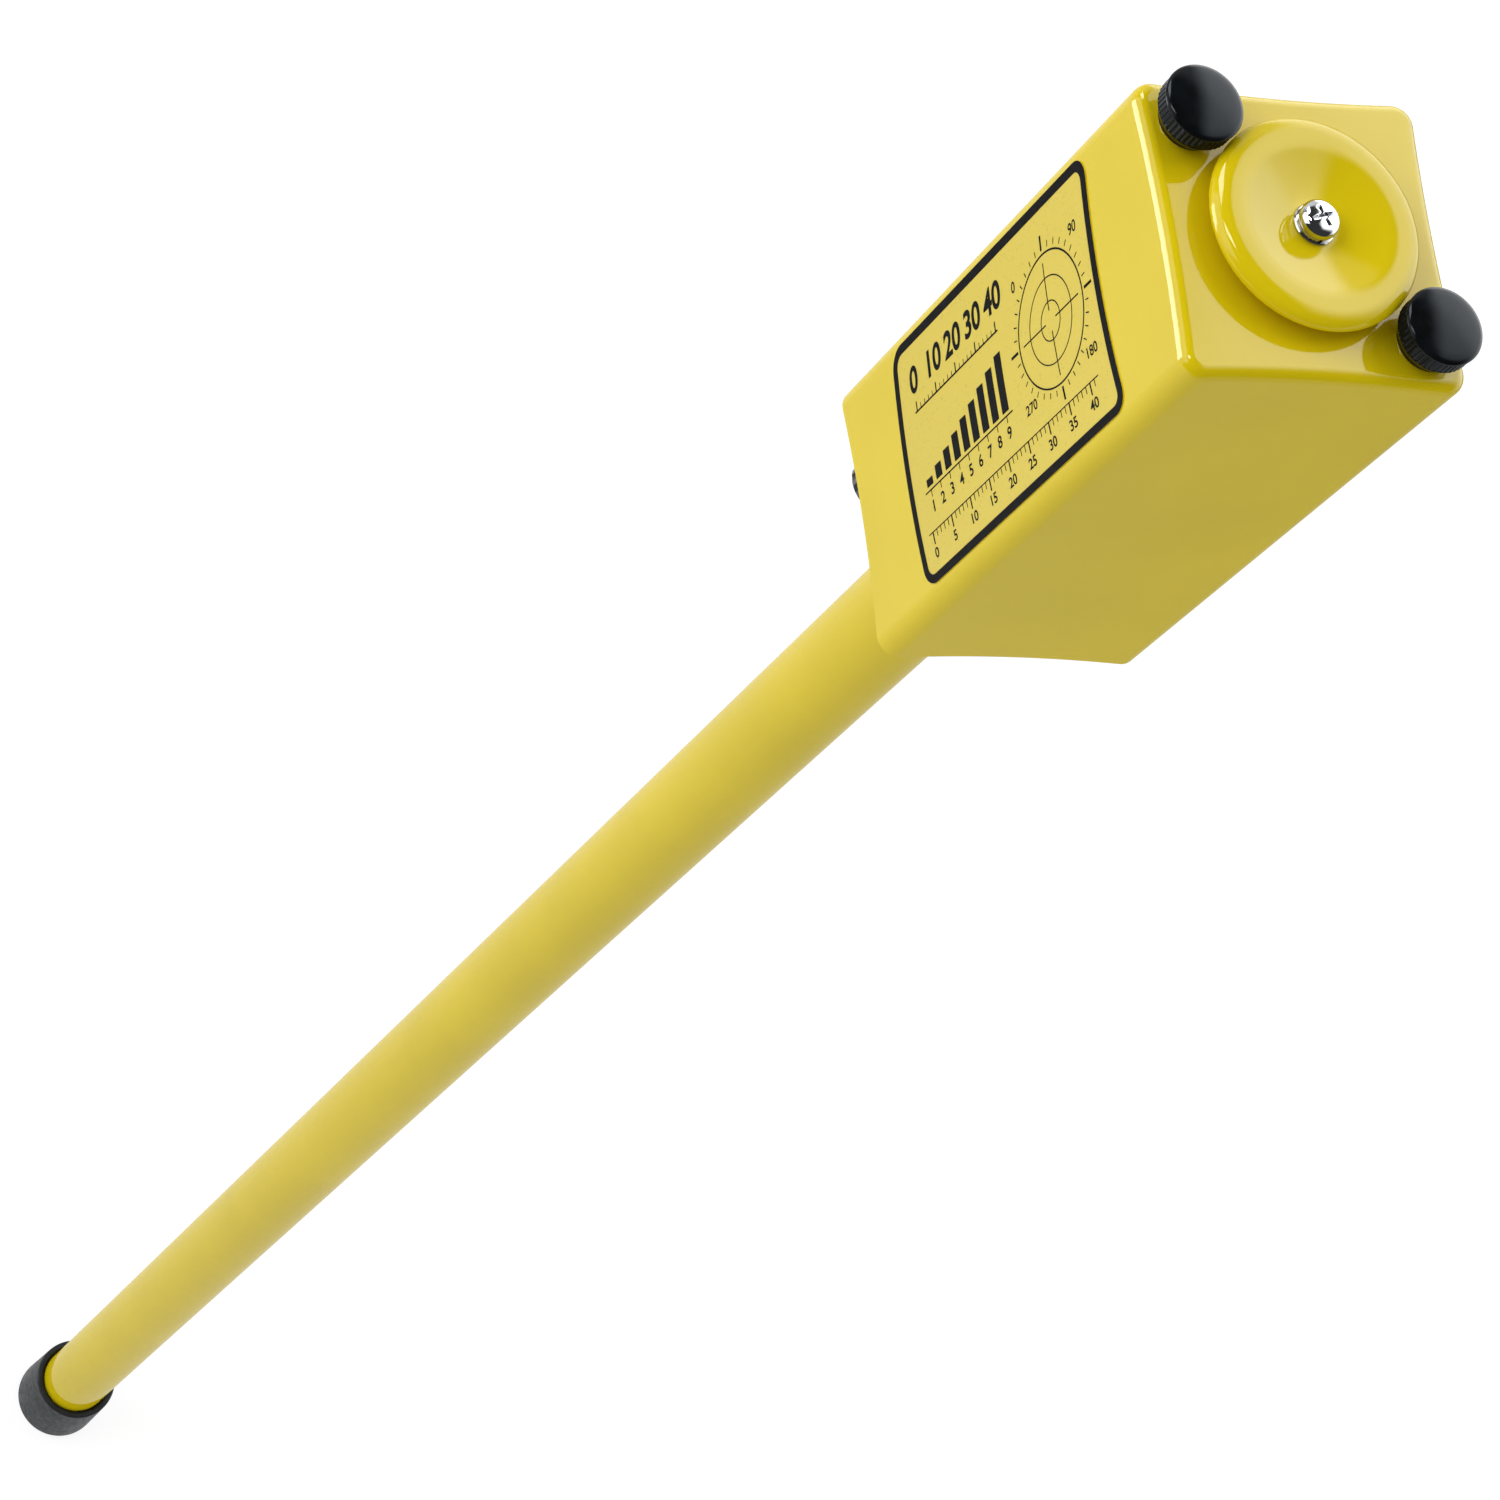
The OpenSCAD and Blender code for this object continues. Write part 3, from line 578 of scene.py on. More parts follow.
def bright_metal(name, base, rough_low, rough_high, grain=(1.0, 1.0, 1.0), strength=0.05):
    """Bare or plated metal with fine marks along its grain."""
    finish = Finish(name, base, metallic=1.0, roughness=rough_low)
    lines = finish.noise(420, 3, finish.stretch(grain))
    finish.vary(lines, 0.05)
    finish.rough(lines, rough_low, rough_high)
    finish.bump(lines, strength, 0.02 * MM)
    return finish.material


def soft_foam(name, base, scale=900):
    """Foam or rubber with open pores, painted darker inside them as shade."""
    finish = Finish(name, base, roughness=0.85)
    pores = finish.cells(scale)
    # Painted shade: the colour darkens inside the pores, where the relief sinks
    finish.vary(pores, 0.35, 0.1, 0.6)
    finish.bump(pores, 0.35, 0.15 * MM)
    return finish.material


def moulded(name, base, roughness=0.45, spread=0.06):
    """Plain moulded plastic with a faint texture."""
    finish = Finish(name, base, roughness=roughness)
    finish.vary(finish.noise(90, 3), spread)
    finish.rough(finish.noise(400, 2), roughness - 0.06, roughness + 0.08)
    finish.bump(finish.noise(1400, 2), 0.06, 0.02 * MM)
    return finish.material


def banded_jacket():
    """Cell jackets: a dark lower part, a copper-coloured band above it and bare steel ends."""
    finish = Finish("cell_jacket", (0.05, 0.05, 0.055), metallic=0.6, roughness=0.3, coat=0.5)
    low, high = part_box("right_cells")
    share = level(finish.tree, finish.pattern("SeparateXYZ", "Z"), low.z, high.z)
    dark, copper, steel = (0.03, 0.03, 0.035), (0.62, 0.30, 0.09), (0.55, 0.55, 0.56)
    lower_cell = [(0.0, steel), (0.012, dark), (0.30, copper), (0.465, steel)]
    upper_cell = [(0.505, dark), (0.80, copper), (0.97, steel)]
    finish.feed(finish.ramp(share, lower_cell + upper_cell, "CONSTANT"), "Base Color")
    finish.rough(finish.noise(300, 2), 0.24, 0.36)
    finish.bump(finish.noise(120, 2), 0.05, 0.05 * MM)
    return finish.material


def circuit_green():
    """Green solder mask with a faint pattern of tracks."""
    finish = Finish("circuit_green", (0.02, 0.14, 0.05), roughness=0.3, coat=0.3)
    upright = finish.pattern("Mapping", "Vector", Rotation=(math.radians(90), 0, 0))
    tracks = finish.pattern(
        "TexBrick",
        "Color",
        upright,
        Color1=(0.018, 0.13, 0.045, 1),
        Color2=(0.022, 0.16, 0.055, 1),
        Mortar=(0.05, 0.26, 0.09, 1),
        Scale=160,
        Mortar_Size=0.03,
    )
    finish.feed(tracks, "Base Color")
    finish.rough(finish.noise(300, 2), 0.26, 0.40)
    finish.bump(tracks.node.outputs["Fac"], 0.15, 0.03 * MM)
    return finish.material


def ribbed_wire(name, base, pitch, metallic=0.0):
    """Turns of fine wire wound round the wand's axis, painted darker in the grooves between turns as shade
    and lighter on their crests as a highlight.
    """
    finish = Finish(name, base, metallic=metallic, roughness=0.35)
    turns = finish.pattern("TexWave", "Fac", Scale=1.0 / pitch / 10, Distortion=0.4)
    turns.node.bands_direction = "Z"
    # Painted shade in the grooves between turns and a painted highlight on their crests, following the
    # relief
    finish.vary(turns, 0.2, 0.1, 0.9)
    finish.bump(turns, 0.5, 0.1 * MM)
    return finish.material


def paper_cone():
    """Pressed paper with fibres."""
    finish = Finish("cone_paper", (0.03, 0.03, 0.032), roughness=0.85)
    fibres = finish.noise(600, 5, finish.stretch((1.0, 3.0, 1.0)), 0.7)
    finish.vary(fibres, 0.4)
    finish.bump(fibres, 0.3, 0.08 * MM)
    return finish.material


# Pieces


class LOCATOR_OT_box_cover(bpy.types.Operator):
    """Build the yellow box cover"""

    bl_idname = "locator.box_cover"
    bl_label = "Box Cover"

    def shell(self, sizes, half):
        """A box that widens towards its open lower end, with its corners and its upper edge rounded."""
        low, top = COVER_LOW.z, COVER_HIGH.z
        box = block((-half, -half, low), (half, half, top))
        pick(box, "VERT", lambda v: v.co.z < low + MM)
        grown = COVER_HIGH.x / half
        bpy.ops.transform.resize(value=(grown, grown, 1), center_override=(0, 0, low))
        pick(box, "FACE", lambda f: f.normal.z < -0.9)
        bpy.ops.mesh.delete(type="FACE")
        object_mode()

        def heights(edge):
            return [box.data.vertices[i].co.z for i in edge.vertices]

        pick(box, "EDGE", lambda e: max(heights(e)) - min(heights(e)) > 10 * MM)
        bpy.ops.mesh.bevel(offset=sizes.corner, segments=10, affect="EDGES")
        pick(box, "EDGE", lambda e: min(heights(e)) > top - HAIR)
        bpy.ops.mesh.bevel(offset=sizes.edge, segments=8, affect="EDGES", clamp_overlap=False)
        return box

    def draw_in(self, box, axis, along, side, wall, depth):
        """Moves one column of a wall's vertices towards the box's middle."""
        other = 1 - axis

        def on_column(v):
            return v.co[other] * side > wall and abs(v.co[axis] - along) < 5 * HAIR

        pick(box, "VERT", on_column)
        move = [0.0, 0.0, 0.0]
        move[other] = -side * depth
        bpy.ops.transform.translate(value=move)

    def bow_walls(self, box, sizes, half):
        """Draws the middle of each wall in, as a shallow curve."""
        columns = 14
        reach = half - sizes.corner - 0.2 * MM
        wall = half - sizes.edge - HAIR
        for axis in (0, 1):
            slice_up(box, axis, reach, columns)
        for axis in (0, 1):
            for k in range(1, columns):
                along = -reach + 2 * reach * k / columns
                depth = sizes.bow * (1 - (along / reach) ** 2)
                for side in (-1, 1):
                    self.draw_in(box, axis, along, side, wall, depth)
        object_mode()

    def holes(self):
        """Rods that cut the holes of the screws and the ring of sound holes through the end face."""
        low, high = COVER_HIGH.z - 5 * MM, COVER_HIGH.z + 2 * MM
        thumb_bore, sound_bore = 2.55 * MM, 2 * MM
        ring, count = 14 * MM, 8
        cutters = [rod(SCREW_BORE, low, high)]
        for near_corner, far_corner in THUMBS.values():
            middle = (near_corner + far_corner) / 2
            cutters.append(rod(thumb_bore, low, high, middle.x, middle.y))
        for k in range(count):
            turn = math.radians(360 / count * k)
            cutters.append(rod(sound_bore, low, high, ring * math.cos(turn), ring * math.sin(turn)))
        return cutters

    def execute(self, context):
        sizes = context.scene.locator_sizes
        half = COVER_HIGH.x - sizes.draft
        box = self.shell(sizes, half)
        self.bow_walls(box, sizes, half)
        with_modifier(box, "SOLIDIFY", thickness=sizes.wall, offset=-1, use_even_offset=True)
        cut_away(box, self.holes())
        soften(box, width=0.25 * MM)
        dress(box, "box_cover", "cover_body", gloss_paint(), ["cover"])
        return {"FINISHED"}


class LOCATOR_OT_label(bpy.types.Operator):
    """Build the label with its border and printed scale"""

    bl_idname = "locator.label"
    bl_label = "Label"

    def outline(self, sizes):
        """The label's rounded outline, flat, its low end at the origin."""
        long = label_length()
        plane = bpy.ops.mesh.primitive_plane_add
        sheet = add(plane, (long, LABEL_WIDTH, 1), size=1, location=(long / 2, 0, 0))
        pick_all(sheet)
        bpy.ops.mesh.bevel(offset=sizes.label_round, segments=8, affect="VERTICES")
        object_mode()
        return sheet

    def keep_edge(self, obj, wide):
        """Leaves only a band along the outline of a flat piece."""
        pick(obj, "FACE", lambda f: True)
        bpy.ops.mesh.inset(thickness=wide)
        bpy.ops.mesh.delete(type="FACE")
        object_mode()

    def lay_on_wall(self, obj, lift, thickness):
        """Bends a flat sheet to the wall and makes it solid."""
        strips = 24
        slice_up(obj, 1, LABEL_WIDTH / 2, strips)
        wrap_on_wall(obj, lift)
        with_modifier(obj, "SOLIDIFY", thickness=thickness, offset=-1)
        smooth(obj)

    # The print is drawn in millimetres: u from the label's low end, v from its middle line

    def bar(self, u, v, long, wide):
        """A straight stroke centred at a place."""
        plane = bpy.ops.mesh.primitive_plane_add
        return add(plane, (long, wide, 1), size=MM, location=(u * MM, v * MM, 0))

    def row(self, count, step, u, v, long, wide):
        """A stroke repeated along the drawing."""
        obj = self.bar(u, v, long, wide)
        with_modifier(
            obj,
            "ARRAY",
            count=count,
            use_relative_offset=False,
            use_constant_offset=True,
            constant_offset_displace=(step * MM, 0, 0),
        )
        return obj

    def hoop(self, u, v, radius, wide):
        """A circle drawn with a stroke."""
        circle = bpy.ops.mesh.primitive_circle_add
        middle = (u * MM, v * MM, 0)
        obj = add(circle, vertices=72, radius=radius * MM, fill_type="NGON", location=middle)
        self.keep_edge(obj, wide * MM)
        return obj

    def ticks_round(self, u, v, inner, outer, wide, count):
        """Strokes that point at a centre, spun round it."""
        tick = self.bar(u + (inner + outer) / 2, v, outer - inner, wide)
        pick_all(tick)
        bpy.ops.mesh.spin(
            steps=count,
            dupli=True,
            angle=2 * math.pi,
            center=(u * MM, v * MM, 0),
            axis=(0, 0, 1),
            use_auto_merge=False,
        )
        object_mode()
        return tick

    def figures(self, text, u, v, size, heavy):
        """A number as a mesh, its strokes thickened a little."""
        start_clean()
        bpy.ops.object.text_add(location=(u * MM, v * MM, 0))
        obj = bpy.context.object
        letters = obj.data
        letters.body = text
        letters.size = size * MM
        letters.offset = heavy * MM
        letters.align_x = "CENTER"
        letters.align_y = "CENTER"
        letters.resolution_u = 5
        bpy.ops.object.convert(target="MESH")
        place(obj)
        return obj

    def numbers(self, values, step, u, v, size, heavy):
        """Numbers in a row along the drawing."""
        numbered = enumerate(values)
        return [self.figures(str(value), u + step * k, v, size, heavy) for k, value in numbered]

    def reticle(self):
        """Rings, ticks and a cross round a centre, with four numbers."""
        u, v = 77, 3
        rings = ((15.5, 0.45), (10.0, 0.3), (4.6, 0.3))
        ticks = ((16.2, 17.6, 0.3, 36), (16.2, 19.6, 0.7, 4), (2.4, 13.4, 0.35, 4))
        strokes = [self.hoop(u, v, *ring) for ring in rings]
        strokes += [self.ticks_round(u, v, *tick) for tick in ticks]
        reach = 20.6
        for text, degrees in (("0", 135), ("90", 45), ("180", -45), ("270", -135)):
            turn = math.radians(degrees)
            along, aside = reach * math.cos(turn), reach * math.sin(turn)
            strokes.append(self.figures(text, u + along, v + aside, size=3.6, heavy=0.05))
        return strokes

    def scale(self):
        """A line with coarse and fine ticks below large numbers."""
        first, step, count = 10, 10.5, 5
        strokes = self.numbers(range(0, 50, 10), step, first, v=19.5, size=8.6, heavy=0.22)
        strokes.append(self.bar(31, v=12.2, long=44, wide=0.45))
        strokes.append(self.row(count, step, first, v=13.4, long=0.5, wide=2.4))
        strokes.append(self.row(21, step / 5, first, v=12.8, long=0.25, wide=1.4))
        return strokes

    def rising_bars(self):
        """Bars that grow taller, over a numbered line."""
        first, step, count = 11, 5, 9
        strokes = []
        for k in range(count):
            tall = 2.0 + 1.55 * k
            strokes.append(self.bar(first + step * k, v=-7.0 + tall / 2, long=3.2, wide=tall))
        strokes.append(self.bar(31, v=-8.0, long=46, wide=0.4))
        strokes.append(self.row(count, step, first, v=-9.0, long=0.3, wide=1.6))
        return strokes + self.numbers(range(1, 10), step, first, v=-12.4, size=4.2, heavy=0.08)

    def rule(self):
        """A long line with fine and coarse ticks over small numbers."""
        first, step, count = 8, 10, 9
        strokes = [self.bar(49, v=-18.0, long=86, wide=0.3)]
        strokes.append(self.row(42, step / 5, first, v=-19.0, long=0.28, wide=1.7))
        strokes.append(self.row(count, step, first, v=-19.7, long=0.5, wide=3.0))
        return strokes + self.numbers(range(0, 45, 5), step, first, v=-23.6, size=3.8, heavy=0.07)

    def execute(self, context):
        sizes = context.scene.locator_sizes
        ink = print_ink()

        film = self.outline(sizes)
        self.lay_on_wall(film, lift=0.24 * MM, thickness=0.2 * MM)
        dress(film, "label_film", "cover_body", label_stock(), ["label"])

        border = self.outline(sizes)
        self.keep_edge(border, sizes.label_border)
        self.lay_on_wall(border, lift=0.28 * MM, thickness=0.035 * MM)
        dress(border, "label_border", "cover_body", ink)

        marks = join(self.reticle() + self.scale() + self.rising_bars() + self.rule())
        self.lay_on_wall(marks, lift=0.275 * MM, thickness=0.03 * MM)
        dress(marks, "label_scale", "cover_body", ink)
        return {"FINISHED"}


class LOCATOR_OT_sound_deflector(bpy.types.Operator):
    """Build the dished disc over the end face"""

    bl_idname = "locator.sound_deflector"
    bl_label = "Sound Deflector"

    def execute(self, context):
        sizes = context.scene.locator_sizes
        top = DISC_HIGH.z - DISC_LOW.z
        gap = 2.4 * MM
        half = (top - gap) / 2
        foot = 8.0 * MM
        seat = 5.5 * MM
        seat_z = top - sizes.dish
        ring = DISC_HIGH.x - sizes.disc_round
        dish = ring - sizes.disc_flat
        rise = sizes.dish - 0.35 * MM
        steepness, rings = 1.3, 14
        outline = [(SCREW_BORE, 0), (foot, 0), (foot, gap)]
        outline += arc(ring, gap + half, sizes.disc_round, half, -90, 90, 24)
        outline += points(dish, top, (2.6, 0), (1.1, -0.06))
        for i in range(rings + 1):
            share = 1 - i / rings
            outline.append((seat + (dish - seat) * share, seat_z + rise * share**steepness))
        outline += [(SCREW_BORE, seat_z)]
        disc = lathe(outline, (0, 0, DISC_LOW.z), steps=128)
        smooth(disc, 40)
        with_modifier(disc, "WEIGHTED_NORMAL", keep_sharp=True, weight=50)
        paint = gloss_paint("disc_paint", 0.38)
        dress(disc, "dished_disc", "cover_body", paint, ["sound_deflector"])
        return {"FINISHED"}


class LOCATOR_OT_centre_screw(bpy.types.Operator):
    """Build the cross-head screw with its two washers"""

    bl_idname = "locator.centre_screw"
    bl_label = "Centre Screw"

    def blade(self, head, top, turn):
        """Cuts one arm of the cross recess, and is narrower at its foot."""
        blade = add(
            bpy.ops.mesh.primitive_cube_add,
            (7.0 * MM, 1.25 * MM, 3.0 * MM),
            size=1,
            location=(0, 0, head + top),
            rotation=(0, 0, math.radians(turn)),
        )
        pick(blade, "VERT", lambda v: v.co.z < head + top - MM)
        bpy.ops.transform.resize(value=(0.45, 0.7, 1), center_override=(0, 0, head))
        object_mode()
        return blade

    def cross_screw(self):
        """The screw, its heights counted from the underside of its head."""
        head = SPRING_HIGH.z
        low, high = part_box("deflector_screw")
        top = high.z - head
        outline = points(0, low.z - head, (0, 0), (2.2, 0), (2.5, 0.4))
        outline += points(0, 0, (2.5, -0.02), (4.45, 0), (4.65, 0.2))
        outline += arc(2.4 * MM, 0.5 * MM, 2.3 * MM, top - 0.62 * MM, 5, 80, 9)
        outline += points(0, top, (1.2, -0.03), (0, 0))
        screw = lathe(outline, (0, 0, head), steps=72)
        pit = points(0, 0, (0, -1.6), (0.75, -1.3), (1.15, 1), (0, 1))
        cutters = [self.blade(head, top, turn) for turn in (20, 110)]
        cutters.append(lathe(pit, (0, 0, head + top), steps=24))
        for cutter in cutters:
            cut_away(screw, [cutter])
        soften(screw, width=0.06 * MM, degrees=35)
        return screw

    def flat_washer(self):
        """The washer that lies on the disc."""
        foot = (0, 0, WASHER_LOW.z)
        outer, thick = WASHER_HIGH.x - 0.3 * MM, WASHER_HIGH.z - WASHER_LOW.z
        broken = points(SCREW_BORE, thick, (0.2, 0), (0, -0.2))
        return washer(foot, outer, 0.15, thick, broken, steps=72)

    def lock_washer(self):
        """The spring washer under the head, with its slot."""
        low, high = SPRING_LOW.z, SPRING_HIGH.z
        outer = SPRING_HIGH.y
        outline = points(SCREW_BORE, 0, (0, 0.05))
        outline += points(outer, 0, (-0.12, 0), (0, 0.12))
        outline += points(outer, high - low, (0, -0.12), (-0.12, 0))
        outline += [(SCREW_BORE, high - low)]
        spring = lathe(outline, (0, 0, low), steps=72)
        slot = 0.4 * MM
        cut_away(spring, [block((1 * MM, -slot, low - MM), (7 * MM, slot, high + MM))])
        smooth(spring)
        return spring

    def execute(self, context):
        chrome = bright_metal("bright_chrome", (0.55, 0.56, 0.58), 0.06, 0.12, strength=0.03)
        steel = bright_metal("spring_washer_steel", (0.55, 0.55, 0.56), 0.18, 0.32)
        screw = self.cross_screw()
        dress(screw, "cross_screw", "cover_body", chrome, ["deflector_screw"])
        flat = self.flat_washer()
        dress(flat, "flat_washer", "cover_body", chrome, ["deflector_washer"])
        spring = self.lock_washer()
        dress(spring, "lock_washer", "cover_body", steel, ["deflector_lock_washer"])
        return {"FINISHED"}


class LOCATOR_OT_thumb_screws(bpy.types.Operator):
    """Build the two black ribbed heads and the washers under them"""

    bl_idname = "locator.thumb_screws"
    bl_label = "Thumb Screws"

    def ribbed_head(self, low, high):
        """A head with a ribbed band, a plain rim above it and a low dome."""
        foot = foot_of(low, high)
        radius, tall = (high.x - low.x) / 2, high.z - low.z
        band = radius - 0.15 * MM
        rib_z = tall * 0.42
        rim_z = tall - 1.75 * MM
        dome, dome_radius = 0.90 * MM, 9.2
        outline = points(0, 0, (2.5, 0), (6.6, 0), (6.9, 0.25), (7.0, 0.9))
        outline += points(band, rib_z, (-0.6, -0.3), (-0.15, 0), (0, 0.2))
        outline += points(band, rim_z, (0, -0.25), (-0.2, -0.1))
        outline += points(radius, rim_z, (-0.05, 0.02), (0, 0.12), (0, 0.3))
        outline += points(radius, rim_z, (-0.12, 0.52), (-0.4, 0.8), (-1.1, 1.04))
        outline += [(r * MM, tall - dome * (r / dome_radius) ** 2) for r in (6.6, 5.0, 3.4, 1.8)]
        outline += [(0, tall), (0, 3 * MM), (2.5 * MM, 3 * MM)]
        head = lathe(outline, foot, steps=192)
        heights = (low.z + rib_z + 0.1 * MM, low.z + rim_z - 0.15 * MM)
        press_in(head, foot, heights, band, depth=0.30 * MM, columns=192, period=4, width=2)
        smooth(head, 30)
        return head

    def execute(self, context):
        plastic = gloss_black()
        plate = bright_metal("thumb_washer_steel", (0.60, 0.60, 0.61), 0.15, 0.30)
        for side, corners in THUMBS.items():
            head = self.ribbed_head(*corners)
            body = f"{side}_screw_body"
            dress(head, f"{side}_ribbed_head", body, plastic, [f"{side}_thumb_head"])
            x, y, _ = foot_of(*corners)
            low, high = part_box(f"{side}_thumb_washer")
            outer, thick = (high.x - low.x) / 2, high.z - low.z
            ring = washer((x, y, low.z), outer, 0.2, thick, [(SCREW_BORE, thick)], steps=64)
            body = f"{side}_washer_body"
            dress(ring, f"{side}_plain_washer", body, plate, [f"{side}_thumb_washer"])
        return {"FINISHED"}


class LOCATOR_OT_wand(bpy.types.Operator):
    """Build the yellow tube and the black cap on its tip"""

    bl_idname = "locator.wand"
    bl_label = "Wand"

    def tube(self):
        """The long tube, its ends broken, in lengths that keep its faces from growing too slender."""
        outer, wall, lengths = TUBE_HIGH.x, 2 * MM, 12
        low, high = TUBE_LOW.z, TUBE_HIGH.z
        outline = [(outer - wall, low)]
        outline += points(outer, low, (-0.3, 0), (0, 0.3))
        outline += [(outer, low + (high - low) * k / lengths) for k in range(1, lengths)]
        outline += points(outer, high, (0, -0.3), (-0.3, 0))
        outline += [(outer - wall, high)]
        tube = lathe(outline, steps=128)
        smooth(tube)
        return tube

    def cap(self):
        """The cap over the tip, rounded at its foot and open for the tube above."""
        tube, radius, tall = TUBE_HIGH.x, CAP_HIGH.x, CAP_HIGH.z
        rounding, lip, floor = 2.5 * MM, 0.6 * MM, 3.5 * MM
        rim = radius - 0.6 * MM
        outline = [(0, 0), (radius - 6 * MM, 0)]
        outline += arc(radius - rounding, rounding, rounding, rounding, -90, 0, 10)
        outline += points(rim, tall, (0.02, -0.9))
        outline += arc(rim - lip, tall - lip, lip, lip, 0, 90, 5)
        outline += points(tube, tall, (1.35, 0), (1.15, -0.15), (0.1, -1.3))
        outline += [(tube + 0.1 * MM, floor), (0, floor)]
        cap = lathe(outline, steps=112)
        smooth(cap)
        return cap

    def execute(self, context):
        tube = self.tube()
        dress(tube, "painted_tube", "chassis", gloss_paint("tube_paint"), ["wand_tube"])
        cap = self.cap()
        plastic = satin_black("cap_plastic", tuple(context.scene.locator_colours.cap))
        dress(cap, "black_tip_cap", "chassis", plastic, ["tip_cap"])
        return {"FINISHED"}


class LOCATOR_OT_control_knobs(bpy.types.Operator):
    """Build the two fluted knobs with their white pointers"""

    bl_idname = "locator.control_knobs"
    bl_label = "Control Knobs"

    def fluted_knob(self, low, high, screw_z):
        """A fluted knob, with a hollow for the nut, a bore for the shaft and a set screw's hole."""
        foot = foot_of(low, high)
        radius, tall = (high.y - low.y) / 2, high.z - low.z
        hollow, hollow_z = 6.85 * MM, tall - 5.2 * MM
        bore, bore_z = 3.02 * MM, 2.5 * MM
        outline = [(0, 0.15 * MM)]
        outline += points(radius, 0, (-2.4, 0.15), (-2.0, 0), (-1.0, 0), (-0.45, 0.2), (0, 1.0))
        outline += points(radius, tall, (0, -1.6), (0, -0.5), (-0.5, 0))
        outline += [(hollow, tall), (hollow, hollow_z), (bore, hollow_z), (bore, bore_z), (0, bore_z)]
        knob = lathe(outline, foot, steps=180)
        heights = (low.z + 0.5 * MM, low.z + tall - 1.0 * MM)
        press_in(knob, foot, heights, radius, depth=0.5 * MM, columns=180, period=10, width=5)
        hole = add(
            bpy.ops.mesh.primitive_cylinder_add,
            vertices=32,
            radius=1.52 * MM,
            depth=8 * MM,
            rotation=(math.radians(90), 0, 0),
            location=(foot[0], foot[1] + 7 * MM, screw_z),
        )
        cut_away(knob, [hole])
        smooth(knob, 30)
        return knob

    def pointer(self, low, high):
        """A bar on the knob's face, from near its edge towards its middle."""
        x, y, z = foot_of(low, high)
        half = 0.5 * MM
        near_edge, near_middle = low.y + 0.9 * MM, y - 2 * MM
        face, root = z + 0.02 * MM, z + 0.6 * MM
        line = block((x - half, near_edge, face), (x + half, near_middle, root))
        soften(line, width=0.1 * MM)
        return line

    def execute(self, context):
        plastic = gloss_black("knob_plastic")
        white = moulded("pointer_white", (0.80, 0.80, 0.78))
        for name, corners in KNOBS.items():
            screw_low, screw_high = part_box(f"{name}_set_screw")
            body = f"{name}_body"
            knob = self.fluted_knob(*corners, (screw_low.z + screw_high.z) / 2)
            dress(knob, f"{name}_fluted_knob", body, plastic, [f"{name}_knob"])
            dress(self.pointer(*corners), f"{name}_pointer", body, white)
        return {"FINISHED"}


class LOCATOR_OT_inner_finishes(bpy.types.Operator):
    """Give the pieces inside the box, the tube and the end plate their finishes"""

    bl_idname = "locator.inner_finishes"
    bl_label = "Inner Finishes"

    def execute(self, context):
        grain = (1.0, 1.0, 0.05)
        cap = tuple(context.scene.locator_colours.cap)
        finishes = {
            "black_plate": satin_black("anodised_plate", (0.014, 0.014, 0.016), 0.06),
            "chromed_steel": bright_metal("plated_steel", (0.74, 0.75, 0.77), 0.08, 0.16),
            "spring_steel": bright_metal("zinc_plated_steel", (0.58, 0.58, 0.58), 0.20, 0.36),
            "frame_metal": bright_metal("brushed_aluminium", (0.70, 0.71, 0.72), 0.24, 0.40, grain, 0.12),
            "control_case": bright_metal("control_case_metal", (0.45, 0.46, 0.49), 0.25, 0.40),
            "cell_jacket": banded_jacket(),
            "black_moulding": moulded("black_moulding", (0.022, 0.022, 0.024), 0.5, 0.3),
            "board_green": circuit_green(),
            "foam_black": soft_foam("black_foam", (0.020, 0.020, 0.021)),
            "white_nylon": moulded("white_nylon", (0.78, 0.77, 0.71), 0.42),
            "enamelled_wire": ribbed_wire("enamelled_wire", (0.45, 0.16, 0.05), 0.45 * MM, 0.8),
            "cable_jacket": soft_foam("cable_jacket", (0.035, 0.035, 0.042), 1500),
            "speaker_metal": bright_metal("speaker_metal", (0.22, 0.22, 0.24), 0.30, 0.45),
            "speaker_paper": paper_cone(),
            "yellow_paint": gloss_paint("inner_paint"),
            "label_print": label_stock(),
            "black_plastic": gloss_black("inner_black"),
            "black_cap": satin_black("inner_cap", cap),
        }
        slots = {row["node"]: row["material_slot"] for row in frame["record"]["subparts"]}
        for name, obj in frame["nodes"].items():
            material = finishes[slots[name]]
            if not obj.data.materials:
                obj.data.materials.append(material)
            for index in range(len(obj.data.materials)):
                obj.data.materials[index] = material
        return {"FINISHED"}


